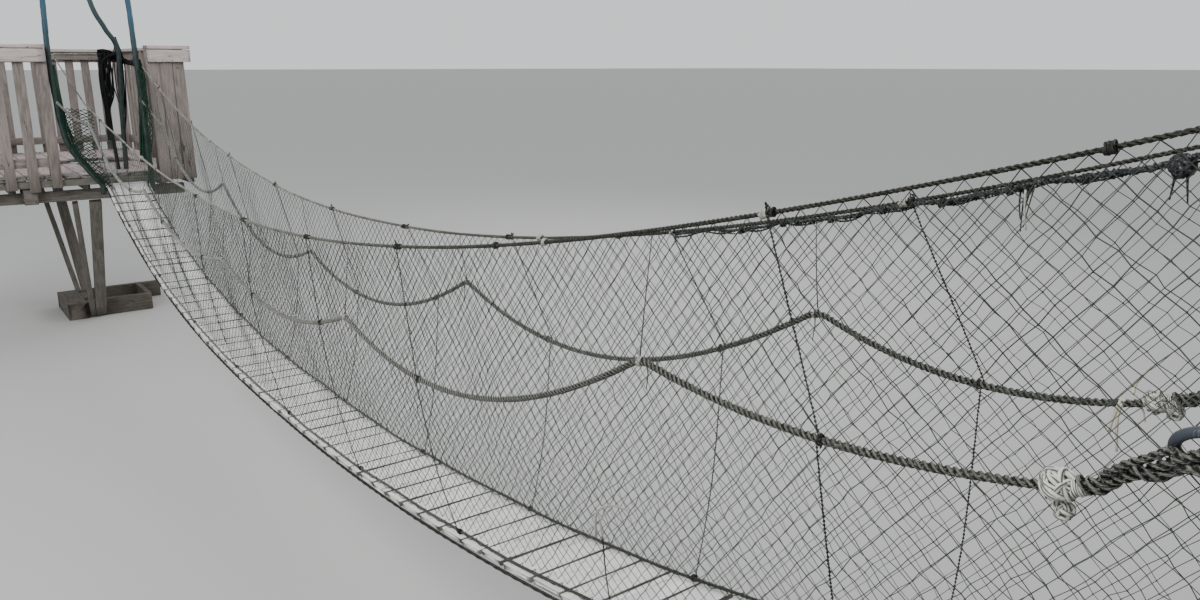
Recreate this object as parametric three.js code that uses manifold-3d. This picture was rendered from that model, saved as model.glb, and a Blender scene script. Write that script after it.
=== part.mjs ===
// Rope suspension footbridge between two timber platforms that clamp round tree trunks.
// Millimetres, +Z up. The bridge runs along +X from the far platform to the near one.
// Bridge coordinates start at the far end of the deck, at the level of its top face.
// The part's origin is on the bearing pad of the far collar's front beam, where it meets the trunk.
import * as THREE from "three";
import { mergeVertices } from "three/addons/utils/BufferGeometryUtils.js";
import Module from "manifold-3d";

const wasm = await Module();
wasm.setup();

// Deck
const span = 10400;
const deckWidth = 400;
const deckThickness = 32;
const deckSag = 870;
const deckLowX = 5000;
const farSagPower = 2.5;
const nearSagPower = 2.1;
const deckBays = 5;
const stepsPerBay = 6;
const bayGap = 4;

// Ropes: radius, and half the distance between the left and the right one
const handrailRadius = 7.5;
const handrailHalf = 263;
const scallopRadius = 10;
const scallopHalf = 305;
const knotRadius = 24;
const smallKnotRadius = 16;
const footRopeRadius = 8;
const footRopeHalf = 172;
const cableRadius = 9;
const cableHalf = deckWidth / 2 - cableRadius;
const hangerRadius = 5;
const hangerFeet = [810, 1855, 2900, 3950, 4980, 6040, 7080, 8130, 9070];
const hangerLean = { atScallop: 40, atRail: 250 };

// Left hanger that is cut off short: where it starts, and the place of its end
const cutHangerFoot = 8130;
const cutHangerEnd = [8165, -250, -274];

// Sag of each handrail: its lowest point, and its rise from there towards either gate
const handrailSags = {
  left: {
    lowX: 4540,
    lowZ: 278,
    far: { height: 488, reach: 4640, power: 1.7 },
    near: { height: 1007, reach: 5860, power: 1.95 },
  },
  right: {
    lowX: 4820,
    lowZ: 296,
    far: { height: 854, reach: 4920, power: 2.02 },
    near: { height: 1002, reach: 5580, power: 2.04 },
  },
};

// Steps of the handrail's curve, and how far before the deck it turns straight towards the far trunk
const handrailSteps = 30;
const handrailBend = 100;

// Knots of each scalloped rope: distance along the bridge, height, and sag of the swag that follows
const knots = {
  left: [
    [250, 590, 200],
    [2305, 200, 160],
    [4370, -8, 163],
    [6307, 43, 237],
    [8404, 378, 60],
    [9555, 439, 0],
  ],
  right: [
    [310, 586, 293],
    [2260, 206, 245],
    [4200, -55, 229],
    [6341, 131, 263],
    [8496, 435, 80],
    [9458, 427, 0],
  ],
};
const stepsPerSwag = 7;

// Rise of a scalloped rope from its last knot towards the sling
const risePastKnot = [[95, 53], [195, 127], [345, 211], [600, 296]];

// Side nets
const netBar = 7;
const netColumns = 26;
const netRows = 4;
const netLift = 26;
const netBulge = 52;
const netMargin = 100;
const netOpening = 0.965;
const netBorder = 0.04;
const netGap = 0.8;

// Platform round its trunk
const trunkRadius = 270;
const trunkBehindEdge = 1550;
const trunkHoleRadius = 300;
const floorEdge = -30;
const floorTop = 110;
const floorThickness = 36;
const floorDepth = 3100;
const floorRight = 655;
const floorLeft = 1600;
const beamWidth = 60;
const joistHeight = 115;
const edgeBeamHeight = 65;
const headerHeight = 105;
const headerLeft = 1150;
const headerRight = 560;
const headerSetBack = 40;
const joistClearance = 20;
const leftJoistY = -1010;
const bearerEnd = { from: [-330, -900, -146], to: [-30, -780, -3] };

// Railings
const railHeight = 1225;
const capThickness = 34;
const capWidth = 150;
const capOverhang = 8;
const fasciaHeight = 125;
const boardThickness = 24;
const railWidth = 45;
const lowRailRise = 90;
const lowRailHeight = 90;
const highRailHeight = 95;
const balusterWidth = 92;
const balusterSpace = 84;
const closeBoardWidth = 110;
const closeBoardSpace = 6;
const balusterFoot = -10;
const postSize = 90;
const gateLeft = 560;
const gateRight = 305;

// Collar round the trunk: levels, and distances from the middle line of the bridge
const collarTop = -1400;
const collarBottom = -1580;
const collarThickness = 80;
const padThickness = 20;
const padWidth = 300;
const frontBeamRight = 320;
const sideBeamClearance = 6;
const rightSideWidth = 54;
const leftSideInner = 345;
const leftSideOuter = 545;
const leftSideNose = 120;
const rearBeamLength = 1090;

// Struts from the collar to the headers: width, and distances of the foot and the head to the right
const strutThickness = 45;
const strutFootRise = 25;
const strutFootBevel = 15;
const wideStrut = { width: 110, foot: -221, head: -281 };
const narrowStrut = { width: 52, foot: -300, head: -462 };

// Slings with their ring, stays at the gate, and the handrails' wraps round the trunks
const hoseRadius = 26;
const slingFootZ = -90;
const ringRadius = 26;
const ringZ = 3000;
const stayRadius = 18;
const strapRadius = 19;
const wrapRadius = 13;
const farWrapZ = 1260;
const nearWrapZ = 1800;
const slingSteps = 22;

// Height at which the scalloped ropes are tied to the slings, and their distance to the side just before it
const tieZ = 800;
const tieSide = { left: 420, right: 285 };

// Clearance between neighbours that touch
const gap = 0.3;

// Reach of a rope of unit radius towards a flat of its six sides, and of a hanger towards the nearest
// of its five corners
const flatSide = Math.cos(Math.PI / 6);
const hangerSide = Math.cos(Math.PI / 10);

const timber = new THREE.MeshStandardMaterial({ color: 0x8d7f78, roughness: 0.9, metalness: 0 });
const railTimber = new THREE.MeshStandardMaterial({ color: 0xa89b92, roughness: 0.9, metalness: 0 });
const deckTimber = new THREE.MeshStandardMaterial({ color: 0xc9c7c2, roughness: 0.85, metalness: 0 });
const greyRope = new THREE.MeshStandardMaterial({ color: 0x9c968a, roughness: 0.95, metalness: 0 });
const darkRope = new THREE.MeshStandardMaterial({ color: 0x4a4640, roughness: 0.95, metalness: 0 });
const netTwine = new THREE.MeshStandardMaterial({ color: 0x3f4a44, roughness: 0.9, metalness: 0 });
const hose = new THREE.MeshStandardMaterial({ color: 0x2f5a58, roughness: 0.6, metalness: 0 });

// Closed solids and booleans

function toSolid(geometry) {
  const bare = geometry.clone();
  bare.deleteAttribute("normal");
  bare.deleteAttribute("uv");
  const merged = mergeVertices(bare, 1e-3);
  const vertProperties = new Float32Array(merged.attributes.position.array);
  const triVerts = new Uint32Array(merged.index.array);
  return new wasm.Manifold(new wasm.Mesh({ numProp: 3, vertProperties, triVerts }));
}

function toGeometry(solid) {
  const mesh = solid.getMesh();
  const geometry = new THREE.BufferGeometry();
  geometry.setAttribute("position", new THREE.BufferAttribute(new Float32Array(mesh.vertProperties), 3));
  geometry.setIndex(new THREE.BufferAttribute(new Uint32Array(mesh.triVerts), 1));
  const faceted = geometry.toNonIndexed();
  faceted.computeVertexNormals();
  return faceted;
}

function join(solids) {
  return solids.reduce((whole, piece) => whole.add(piece));
}

// Box from its lowest to its highest corner
function boxSolid(low, high) {
  const size = high.map((value, axis) => value - low[axis]);
  const centre = high.map((value, axis) => (value + low[axis]) / 2);
  const geometry = new THREE.BoxGeometry(...size);
  geometry.translate(...centre);
  return toSolid(geometry);
}

// Straight bar of rectangular section from one point to another, its width kept level
function barSolid(from, to, width, thickness) {
  const start = new THREE.Vector3(...from);
  const end = new THREE.Vector3(...to);
  const geometry = new THREE.BoxGeometry(start.distanceTo(end), width, thickness);
  const along = end.clone().sub(start).normalize();
  const across = new THREE.Vector3(0, 0, 1).cross(along).normalize();
  const up = along.clone().cross(across);
  const turn = new THREE.Matrix4().makeBasis(along, across, up);
  turn.setPosition(start.add(end).multiplyScalar(0.5));
  geometry.applyMatrix4(turn);
  return toSolid(geometry);
}

function ballSolid(centre, radius) {
  const geometry = new THREE.IcosahedronGeometry(radius, 0);
  geometry.translate(...centre);
  return toSolid(geometry);
}

// Rope through the points, in order of their x, with its rings in upright planes across the bridge
function strandSolid(points, radius, sides) {
  const positions = [];
  const triangles = [];
  for (const [x, y, z] of points) {
    for (let side = 0; side < sides; side += 1) {
      const angle = (2 * Math.PI * side) / sides - Math.PI / 2;
      positions.push(x, y + radius * Math.cos(angle), z + radius * Math.sin(angle));
    }
  }
  const last = (points.length - 1) * sides;
  for (let side = 0; side < sides; side += 1) {
    const next = (side + 1) % sides;
    for (let ring = 0; ring < last; ring += sides) {
      triangles.push(ring + side, ring + next, ring + sides + next);
      triangles.push(ring + side, ring + sides + next, ring + sides + side);
    }
    if (side > 0 && side < sides - 1) {
      triangles.push(0, next, side);
      triangles.push(last, last + side, last + next);
    }
  }
  const geometry = new THREE.BufferGeometry();
  geometry.setAttribute("position", new THREE.Float32BufferAttribute(positions, 3));
  geometry.setIndex(triangles);
  return toSolid(geometry);
}

// Rope through the points, in order of their z, with its rings in level planes
function uprightStrand(points, radius, sides) {
  return strandSolid(points.map(([x, y, z]) => [z, y, -x]), radius, sides).rotate([0, -90, 0]);
}

// Ring round a vertical trunk
function ringSolid(centreX, z, radius, tubeRadius) {
  const profile = [];
  for (let side = 0; side <= 6; side += 1) {
    const angle = (2 * Math.PI * side) / 6;
    profile.push(new THREE.Vector2(radius + tubeRadius * Math.cos(angle), tubeRadius * Math.sin(angle)));
  }
  const geometry = new THREE.LatheGeometry(profile, 24);
  geometry.rotateX(Math.PI / 2);
  geometry.translate(centreX, 0, z);
  return toSolid(geometry);
}

// Points along a smooth curve through the given ones
function smooth(points, count) {
  const through = points.map((point) => new THREE.Vector3(...point));
  const curve = new THREE.CatmullRomCurve3(through, false, "centripetal");
  return curve.getPoints(count).map((point) => point.toArray());
}

// Curves of the span

function deckZ(x) {
  const side = x < deckLowX ? deckLowX : span - deckLowX;
  const power = x < deckLowX ? farSagPower : nearSagPower;
  return -deckSag * (1 - Math.pow(Math.abs(x - deckLowX) / side, power));
}

function handrailZ(x, side) {
  const { lowX, lowZ, far, near } = side < 0 ? handrailSags.left : handrailSags.right;
  const { height, reach, power } = x > lowX ? near : far;
  return lowZ + height * Math.pow(Math.abs(x - lowX) / reach, power);
}

function knotsOf(side) {
  return side < 0 ? knots.left : knots.right;
}

function scallopZ(x, side) {
  const tied = knotsOf(side);
  const passed = tied.filter((knot) => knot[0] <= x).length;
  const index = Math.min(Math.max(passed - 1, 0), tied.length - 2);
  const [x0, z0, sag] = tied[index];
  const [x1, z1] = tied[index + 1];
  const part = (x - x0) / (x1 - x0);
  return z0 + (z1 - z0) * part - 4 * sag * part * (1 - part);
}

const root = new THREE.Group();
const bridge = new THREE.Group();
bridge.position.set(trunkBehindEdge - trunkRadius, 0, -(collarTop + collarBottom) / 2);
root.add(bridge);

function addPiece(name, solid, material, mirrored = false) {
  const mesh = new THREE.Mesh(toGeometry(solid), material);
  mesh.name = name;
  if (mirrored) {
    mesh.scale.x = -1;
    mesh.position.x = span;
  }
  bridge.add(mesh);
}

// Deck: a slab that stands for the cross boards, in bays
function deckBay(index) {
  const bay = span / deckBays;
  const xs = Array.from({ length: stepsPerBay + 1 }, (_, step) => bay * (index + step / stepsPerBay));
  xs[0] += bayGap / 2;
  xs[stepsPerBay] -= bayGap / 2;
  const outline = new THREE.Shape();
  xs.forEach((x, step) => outline[step ? "lineTo" : "moveTo"](x, deckZ(x)));
  xs.reverse().forEach((x) => outline.lineTo(x, deckZ(x) - deckThickness));
  outline.closePath();
  const geometry = new THREE.ExtrudeGeometry(outline, { depth: deckWidth, bevelEnabled: false });
  geometry.rotateX(Math.PI / 2);
  geometry.translate(0, deckWidth / 2, 0);
  return toSolid(geometry);
}

for (let index = 0; index < deckBays; index += 1) {
  addPiece(`deck_bay_${index + 1}`, deckBay(index), deckTimber);
}

// Points of a rope that follows a height function between two distances
function ropePoints(from, to, count, y, height) {
  return Array.from({ length: count + 1 }, (_, step) => {
    const x = from + ((to - from) * step) / count;
    return [x, y, height(x)];
  });
}

// Handrail rope, from the wrap round one trunk to the wrap round the other
function handrailRope(side) {
  const atTrunk = side * (trunkRadius + 2 * wrapRadius + flatSide * handrailRadius + gap);
  const middle = side * handrailHalf;
  return strandSolid([
    [-trunkBehindEdge, atTrunk, farWrapZ],
    ...ropePoints(-handrailBend, span, handrailSteps, middle, (x) => handrailZ(x, side)),
    [span + trunkBehindEdge, atTrunk, nearWrapZ],
  ], handrailRadius, 6);
}

// Middle line of a sling, from the corner of the deck up to the ring round the trunk
function slingPoints(side) {
  const corner = side * (deckWidth / 2 + hoseRadius + gap);
  const atRing = side * (trunkRadius + 2 * ringRadius + hoseRadius + gap);
  const atEdge = floorEdge + hoseRadius + gap;
  const low = side < 0
    ? [[atEdge, -300, floorTop], [-12, -395, 255], [-20, -470, 400], [-35, -507, 600], [-55, -520, 830]]
    : [[atEdge, corner, floorTop], [-12, 224, 400], [-20, 222, 800]];
  const high = side < 0
    ? [[-105, -528, 1180], [-330, -480, 1800], [-900, -400, 2450]]
    : [[-60, 217, 1300], [-330, 255, 1850], [-900, 300, 2450]];
  const through = [[atEdge, corner, 0], ...low, ...high, [-trunkBehindEdge, atRing, ringZ]];
  return [[atEdge, corner, slingFootZ], ...smooth(through, slingSteps)];
}

// Scalloped rope with its knots, tied to the slings at both ends
function scallopRope(side) {
  const points = slingPoints(side);
  const above = points.findIndex((point) => point[2] > tieZ);
  const [lower, upper] = [points[above - 1], points[above]];
  const part = (tieZ - scallopRadius - lower[2]) / (upper[2] - lower[2]);
  const tieX = lower[0] + (upper[0] - lower[0]) * part + hoseRadius + gap;
  const tieY = lower[1] + (upper[1] - lower[1]) * part;
  const middle = side * scallopHalf;
  const drawnIn = side < 0 ? -tieSide.left : tieSide.right;
  const tied = knotsOf(side);
  const [lastX, lastZ] = tied[tied.length - 1];
  const height = (x) => scallopZ(x, side);
  const swags = tied.slice(1).flatMap(([x], index) => {
    const swag = ropePoints(tied[index][0], x, stepsPerSwag, middle, height);
    return index ? swag.slice(1) : swag;
  });
  const rope = strandSolid([
    [tieX, tieY, tieZ],
    [90, drawnIn, 670],
    ...swags,
    ...risePastKnot.map(([along, rise]) => [lastX + along, middle, lastZ + rise]),
    [10310, drawnIn, 775],
    [span - tieX, tieY, tieZ],
  ], scallopRadius, 6);
  const balls = tied.map(([x, z]) => ballSolid([x, middle, z], x === lastX ? knotRadius : smallKnotRadius));
  return join([rope, ...balls]);
}

// Cable under the edge of the deck
function deckCable(side) {
  const cableZ = (x) => deckZ(x) - deckThickness - cableRadius - gap;
  const points = ropePoints(0, span, deckBays * stepsPerBay, side * cableHalf, cableZ);
  return strandSolid(points, cableRadius, 6);
}

// Foot rope on the deck with the hangers that carry it, which lie against the scalloped rope and the handrail
function suspender(side) {
  const footZ = (x) => deckZ(x) + footRopeRadius + gap;
  const footPoints = ropePoints(0, span, deckBays * stepsPerBay, side * footRopeHalf, footZ);
  const beside = hangerSide * hangerRadius + gap;
  const scallopSide = side * (scallopHalf + flatSide * scallopRadius + beside);
  const railSide = side * (handrailHalf + flatSide * handrailRadius + beside);
  const hangers = hangerFeet.map((x) => {
    const [tiedX, railX] = [x - hangerLean.atScallop, x - hangerLean.atRail];
    const [tiedZ, railZ] = [scallopZ(tiedX, side), handrailZ(railX, side)];
    const low = [
      [x, side * footRopeHalf, footZ(x)],
      [x, side * (footRopeHalf + 2 * footRopeRadius), footZ(x) + 3 * footRopeRadius],
    ];
    const high = [
      [tiedX, scallopSide, tiedZ - knotRadius],
      [tiedX, scallopSide, tiedZ + knotRadius],
      [railX, railSide, railZ - 2 * handrailRadius],
      [railX, railSide, railZ + 2 * handrailRadius],
    ];
    const cut = side < 0 && x === cutHangerFoot;
    return uprightStrand([...low, ...(cut ? [cutHangerEnd] : high)], hangerRadius, 5);
  });
  return join([strandSolid(footPoints, footRopeRadius, 6), ...hangers]);
}

// Side net as a coarse diamond lattice inside the ropes. It is drawn in elevation, as distance along the
// bridge and height, and then bent sideways from the foot rope out to the handrail rope.
function netElevation(side, column, row) {
  const x = netMargin + ((span - 2 * netMargin) * column) / netColumns;
  const low = deckZ(x) + netLift;
  return [x, low + ((handrailZ(x, side) - low) * row) / netRows];
}

function netSideways(side, x, z) {
  const low = deckZ(x) + netLift;
  const rise = Math.min(Math.max((z - low) / (handrailZ(x, side) - low), 0), 1);
  const lowY = footRopeHalf - flatSide * footRopeRadius - netBar / 2 - netGap;
  const highY = handrailHalf - flatSide * handrailRadius - netBar / 2 - netGap;
  return lowY + (highY - lowY) * rise + netBulge * Math.sin(Math.PI * rise) ** 2;
}

// Corners of one opening, in columns and rows, drawn in from the middle lines of the bars round it
// and cut off at the border of the net
function netHole(column, row) {
  const directions = [[1, 0], [0, 1], [-1, 0], [0, -1]];
  const corners = directions.map(([dx, dy]) => [column + dx * netOpening, row + dy * netOpening]);
  const inside = corners.filter(([x, y]) => x > 0 && x < netColumns && y > 0 && y < netRows);
  if (inside.length === 4) return corners;
  const reach = netOpening - netBorder;
  const keptColumn = Math.min(Math.max(column, netBorder), netColumns - netBorder);
  const keptRow = Math.min(Math.max(row, netBorder), netRows - netBorder);
  const level = row === 0 || row === netRows;
  const ends = level
    ? [[column - reach, keptRow], [column + reach, keptRow]]
    : [[keptColumn, row - reach], [keptColumn, row + reach]];
  const tip = inside.find(([x, y]) => (level ? x === column : y === row));
  return [...ends, tip];
}

function outlineOf(path, points) {
  points.forEach(([x, z], index) => path[index ? "lineTo" : "moveTo"](x, z));
  path.closePath();
  return path;
}

function netPanel(side) {
  const place = ([column, row]) => netElevation(side, column, row);
  const columns = Array.from({ length: netColumns + 1 }, (_, column) => column);
  const lowEdge = columns.map((column) => place([column, -netBorder]));
  const highEdge = columns.map((column) => place([column, netRows + netBorder])).reverse();
  const sheet = outlineOf(new THREE.Shape(), [...lowEdge, ...highEdge]);
  for (const column of columns) {
    for (let row = 0; row <= netRows; row += 1) {
      const corner = column % netColumns === 0 && row % netRows === 0;
      if ((column + row) % 2 && !corner) {
        sheet.holes.push(outlineOf(new THREE.Path(), netHole(column, row).map(place)));
      }
    }
  }
  const geometry = new THREE.ExtrudeGeometry(sheet, { depth: netBar, bevelEnabled: false });
  geometry.rotateX(Math.PI / 2);
  const position = geometry.attributes.position;
  for (let index = 0; index < position.count; index += 1) {
    const [x, z] = [position.getX(index), position.getZ(index)];
    const offset = position.getY(index) + netBar / 2;
    position.setY(index, side * netSideways(side, x, z) + offset);
  }
  return toSolid(geometry);
}

for (const [sideName, side] of [["left", -1], ["right", 1]]) {
  addPiece(`${sideName}_handrail_rope`, handrailRope(side), greyRope);
  addPiece(`${sideName}_scallop_rope`, scallopRope(side), greyRope);
  addPiece(`${sideName}_deck_cable`, deckCable(side), darkRope);
  addPiece(`${sideName}_suspender_ropes`, suspender(side), darkRope);
  addPiece(`${sideName}_net`, netPanel(side), netTwine);
}

// Platforms: each piece is made at the far end and mirrored for the near one

const railTop = floorTop + railHeight;
const frameTop = floorTop - floorThickness - gap;
const headerTop = frameTop - joistHeight;
const headerBottom = headerTop - headerHeight;
const backEdge = floorEdge - floorDepth;
const frontHeaderX = floorEdge - 2 * beamWidth - headerSetBack;
const rearHeaderX = backEdge + beamWidth + headerSetBack;
const trunkFront = trunkRadius - trunkBehindEdge;
const trunkRear = -trunkRadius - trunkBehindEdge;
const beamFace = trunkFront + padThickness;

function floorSlab() {
  const slab = boxSolid([backEdge, -floorLeft, floorTop - floorThickness], [floorEdge, floorRight, floorTop]);
  const hole = new THREE.CylinderGeometry(trunkHoleRadius, trunkHoleRadius, 4 * floorThickness, 24);
  hole.rotateX(Math.PI / 2);
  hole.translate(-trunkBehindEdge, 0, floorTop);
  return slab.subtract(toSolid(hole));
}

// Lower header across the joists, carried by the struts, grown on all sides by a clearance
function headerSolid(x, grown) {
  return boxSolid(
    [x - grown, -headerLeft, headerBottom - grown],
    [x + beamWidth + grown, headerRight, headerTop + grown + 1],
  );
}

// Beams and joists under the floor, with the lower headers
function floorFrame() {
  const edgeBottom = frameTop - edgeBeamHeight;
  const edgeBeam = (x) => boxSolid([x, -floorLeft, edgeBottom], [x + beamWidth, floorRight, frameTop]);
  const joist = (y) => boxSolid([backEdge + 1, y, headerTop], [floorEdge - 1, y + beamWidth, frameTop]);
  const joistY = trunkHoleRadius + joistClearance;
  return join([
    edgeBeam(floorEdge - beamWidth),
    edgeBeam(backEdge),
    joist(-floorLeft),
    joist(leftJoistY),
    joist(-joistY - beamWidth),
    joist(joistY),
    joist(floorRight - beamWidth),
    headerSolid(frontHeaderX, 0),
    headerSolid(rearHeaderX, 0),
    boxSolid(bearerEnd.from, bearerEnd.to),
  ]);
}

// Railing along +x from 0 to its length, with the floor's edge at y = 0 and its outer face towards +y
function railPanel({ boardWidth, space }, length, posts, overhangs) {
  const count = Math.floor((length - boardWidth) / (boardWidth + space));
  const starts = Array.from({ length: count + 1 }, (_, index) => ((length - boardWidth) * index) / count);
  const capBottom = railTop - capThickness;
  const lowRail = [floorTop + lowRailRise, floorTop + lowRailRise + lowRailHeight];
  const highRail = [capBottom - highRailHeight, capBottom + 1];
  const face = gap + boardThickness;
  const outer = face + boardThickness;
  const [from, to] = [-overhangs[0], length + overhangs[1]];
  const sheet = boxSolid([0, gap, balusterFoot], [length, face, capBottom - boardThickness]);
  const spaces = starts.slice(1).flatMap((start, index) => {
    const end = starts[index] + boardWidth;
    return [
      boxSolid([end, 0, lowRail[1]], [start, 2 * face, highRail[0]]),
      boxSolid([end, 0, balusterFoot - 1], [start, 2 * face, lowRail[0]]),
    ];
  });
  const rail = (low, high) => boxSolid([2, -railWidth, low], [length - 2, gap + 1, high]);
  return join([
    sheet.subtract(join(spaces)),
    rail(lowRail[0] + 2, lowRail[1] - 2),
    rail(highRail[0] + 2, highRail[1]),
    boxSolid([from, face - 1, capBottom - fasciaHeight], [to, outer, railTop - 5]),
    boxSolid([from, outer - capWidth, capBottom], [to, outer + capOverhang, railTop]),
    ...posts.map((start) => boxSolid(
      [start, -2 - postSize, floorTop + gap],
      [start + postSize, -2, capBottom + 1],
    )),
  ]);
}

// Places a solid turned about the vertical, then moved
function placed(solid, degrees, x, y) {
  return solid.rotate([0, 0, degrees]).translate([x, y, 0]);
}

// Beam on the bridge side of the trunk, grown on all sides by a clearance
function frontBeam(grown) {
  return boxSolid(
    [beamFace - grown, -leftSideInner + gap - grown, collarBottom - grown],
    [beamFace + collarThickness + grown, frontBeamRight + grown, collarTop + grown],
  );
}

// That beam with the pad that bears on the trunk
function collarFront() {
  const pad = boxSolid([trunkFront, -padWidth / 2, collarBottom], [beamFace + 1, padWidth / 2, collarTop]);
  return frontBeam(0).add(pad);
}

// Beam behind the trunk, grown on all sides by a clearance
function rearBeam(grown) {
  return boxSolid(
    [trunkRear - collarThickness - grown, -rearBeamLength / 2, collarBottom - grown],
    [trunkRear + grown, rearBeamLength / 2, collarTop + grown],
  );
}

// That beam with the two side beams: the left one is packed out from the trunk and runs on past the front one
function collarRear() {
  const level = (x0, x1, y0, y1) => boxSolid([x0, y0, collarBottom], [x1, y1, collarTop]);
  const clear = trunkRadius + sideBeamClearance;
  const packing = padWidth / 2;
  return join([
    rearBeam(0),
    level(trunkRear - 1, beamFace + leftSideNose, -leftSideOuter, -leftSideInner),
    level(-trunkBehindEdge - packing, -trunkBehindEdge + packing, -leftSideInner - 1, -clear),
    level(trunkRear - 1, beamFace - gap, clear, clear + rightSideWidth),
  ]);
}

// Two planks that rise side by side from a beam of the collar to a header, the narrow one leaning outwards
function struts(footX, headX) {
  const bevel = Math.sign(headX - footX) * strutFootBevel;
  const plank = ({ width, foot, head }) => {
    const low = [footX - bevel, foot, collarBottom + strutFootRise];
    const high = [headX + beamWidth / 2, head, headerBottom + strutThickness];
    return barSolid(low, high, width, strutThickness);
  };
  const clearances = [
    headerSolid(frontHeaderX, gap),
    headerSolid(rearHeaderX, gap),
    frontBeam(gap),
    rearBeam(gap),
  ];
  const pair = plank(wideStrut).add(plank(narrowStrut));
  return clearances.reduce((solid, clearance) => solid.subtract(clearance), pair);
}

// Hose-sleeved sling from the corner of the deck up to the ring round the trunk
function slingHose(side) {
  return uprightStrand(slingPoints(side), hoseRadius, 8);
}

// Ring round the trunk that carries the slings, with the stay and the strap that come down to the gate
function slingRing() {
  const ring = ringSolid(-trunkBehindEdge, ringZ, trunkRadius + ringRadius, ringRadius);
  const foot = floorTop + gap;
  const stay = smooth([
    [-400, 75, foot],
    [-400, 100, 700],
    [-400, 128, 1280],
    [-420, 40, 1500],
    [-500, -50, 1760],
    [-900, -90, 2450],
    [trunkFront + ringRadius, -60, ringZ],
  ], 16);
  const strap = smooth([
    [-404, 5, foot],
    [-404, -25, 700],
    [-404, -30, 1150],
    [-402, 120, 1265],
  ], 8);
  return join([ring, uprightStrand(stay, stayRadius, 6), uprightStrand(strap, strapRadius, 6)]);
}

for (const [endName, mirrored] of [["far", false], ["near", true]]) {
  const add = (name, solid, material) => addPiece(`${endName}_${name}`, solid, material, mirrored);
  add("platform_floor", floorSlab(), railTimber);
  add("platform_frame", floorFrame(), timber);

  const open = { boardWidth: balusterWidth, space: balusterSpace };
  const close = { boardWidth: closeBoardWidth, space: closeBoardSpace };
  const overhang = 2 * boardThickness + capOverhang + gap;
  const ends = (length) => [0, length - postSize];
  const fence = (boards, length, overhangs) => railPanel(boards, length, ends(length), overhangs);
  const frontLeft = fence(open, floorLeft - gateLeft, [0, overhang]);
  const frontRight = fence(close, floorRight - gateRight, [overhang, 0]);
  const rear = fence(open, floorLeft + floorRight, [overhang, overhang]);
  const sideLength = floorDepth - 2 * capWidth;
  const sideFence = railPanel(open, sideLength, [sideLength / 2], [0, 0]);
  add("front_left_railing", placed(frontLeft, -90, floorEdge, -gateLeft), timber);
  add("front_right_railing", placed(frontRight, -90, floorEdge, floorRight), timber);
  add("rear_railing", placed(rear, 90, backEdge, -floorLeft), timber);
  add("left_railing", placed(sideFence, 180, floorEdge - capWidth, -floorLeft), timber);
  add("right_railing", placed(sideFence, 0, backEdge + capWidth, floorRight), timber);

  add("collar_front_beam", collarFront(), timber);
  add("collar_rear_yoke", collarRear(), timber);
  add("front_struts", struts(beamFace + collarThickness, frontHeaderX), timber);
  add("rear_struts", struts(trunkRear - collarThickness, rearHeaderX), timber);
  add("left_sling_hose", slingHose(-1), hose);
  add("right_sling_hose", slingHose(1), hose);
  add("sling_ring", slingRing(), hose);
}

const wrapRing = (centreX, z) => ringSolid(centreX, z, trunkRadius + wrapRadius, wrapRadius);
addPiece("far_handrail_wrap", wrapRing(-trunkBehindEdge, farWrapZ), greyRope);
addPiece("near_handrail_wrap", wrapRing(span + trunkBehindEdge, nearWrapZ), greyRope);

export default root;
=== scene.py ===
import math
import bpy
import numpy as np
from mathutils import Matrix, Vector


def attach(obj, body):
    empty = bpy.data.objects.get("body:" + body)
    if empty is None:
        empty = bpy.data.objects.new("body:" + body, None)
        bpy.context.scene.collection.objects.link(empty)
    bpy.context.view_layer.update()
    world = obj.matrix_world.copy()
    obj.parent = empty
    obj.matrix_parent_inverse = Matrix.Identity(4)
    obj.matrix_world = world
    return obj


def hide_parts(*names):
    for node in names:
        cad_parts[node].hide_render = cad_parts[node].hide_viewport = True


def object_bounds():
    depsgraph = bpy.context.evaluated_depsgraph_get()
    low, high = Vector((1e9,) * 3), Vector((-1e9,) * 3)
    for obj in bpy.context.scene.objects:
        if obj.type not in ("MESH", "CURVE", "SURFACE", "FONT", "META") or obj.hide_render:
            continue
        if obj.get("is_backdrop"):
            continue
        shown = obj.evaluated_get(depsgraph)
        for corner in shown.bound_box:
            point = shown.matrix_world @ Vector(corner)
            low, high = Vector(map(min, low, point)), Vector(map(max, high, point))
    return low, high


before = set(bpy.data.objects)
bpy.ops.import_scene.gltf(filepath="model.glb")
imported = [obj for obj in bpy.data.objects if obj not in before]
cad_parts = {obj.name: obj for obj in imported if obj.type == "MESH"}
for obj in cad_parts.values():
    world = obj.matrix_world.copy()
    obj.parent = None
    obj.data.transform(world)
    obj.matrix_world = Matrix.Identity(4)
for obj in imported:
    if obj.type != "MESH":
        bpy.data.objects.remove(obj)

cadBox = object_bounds()
place = np.array([1.28, 0.0, 1.49])  # far end of the deck, in the part's frame
span = 10.4
bothSides = (("left", -1), ("right", 1))
random = np.random.default_rng(7)

cameraView = {"at": (10.26, -1.839, 1.147), "heading": 37.0, "pitch": 14.14, "lens": 27.99}


def makeCamera():
    turn, down = math.radians(cameraView["heading"]), math.radians(cameraView["pitch"])
    level = Vector((-math.cos(turn), math.sin(turn), 0))
    upright = Vector((0, 0, 1))
    right = Vector((math.sin(turn), math.cos(turn), 0))
    back = upright * math.sin(down) - level * math.cos(down)
    over = level * math.sin(down) + upright * math.cos(down)
    data = bpy.data.cameras.new("viewCamera")
    data.lens = cameraView["lens"]
    data.sensor_width = 36.0
    data.sensor_fit = "HORIZONTAL"
    data.clip_end = 2000
    camera = bpy.data.objects.new("viewCamera", data)
    bpy.context.scene.collection.objects.link(camera)
    turned = Matrix((right, over, back)).transposed().to_4x4()
    camera.matrix_world = Matrix.Translation(Vector(cameraView["at"]) + Vector(place)) @ turned
    bpy.context.scene.camera = camera


makeCamera()

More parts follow.
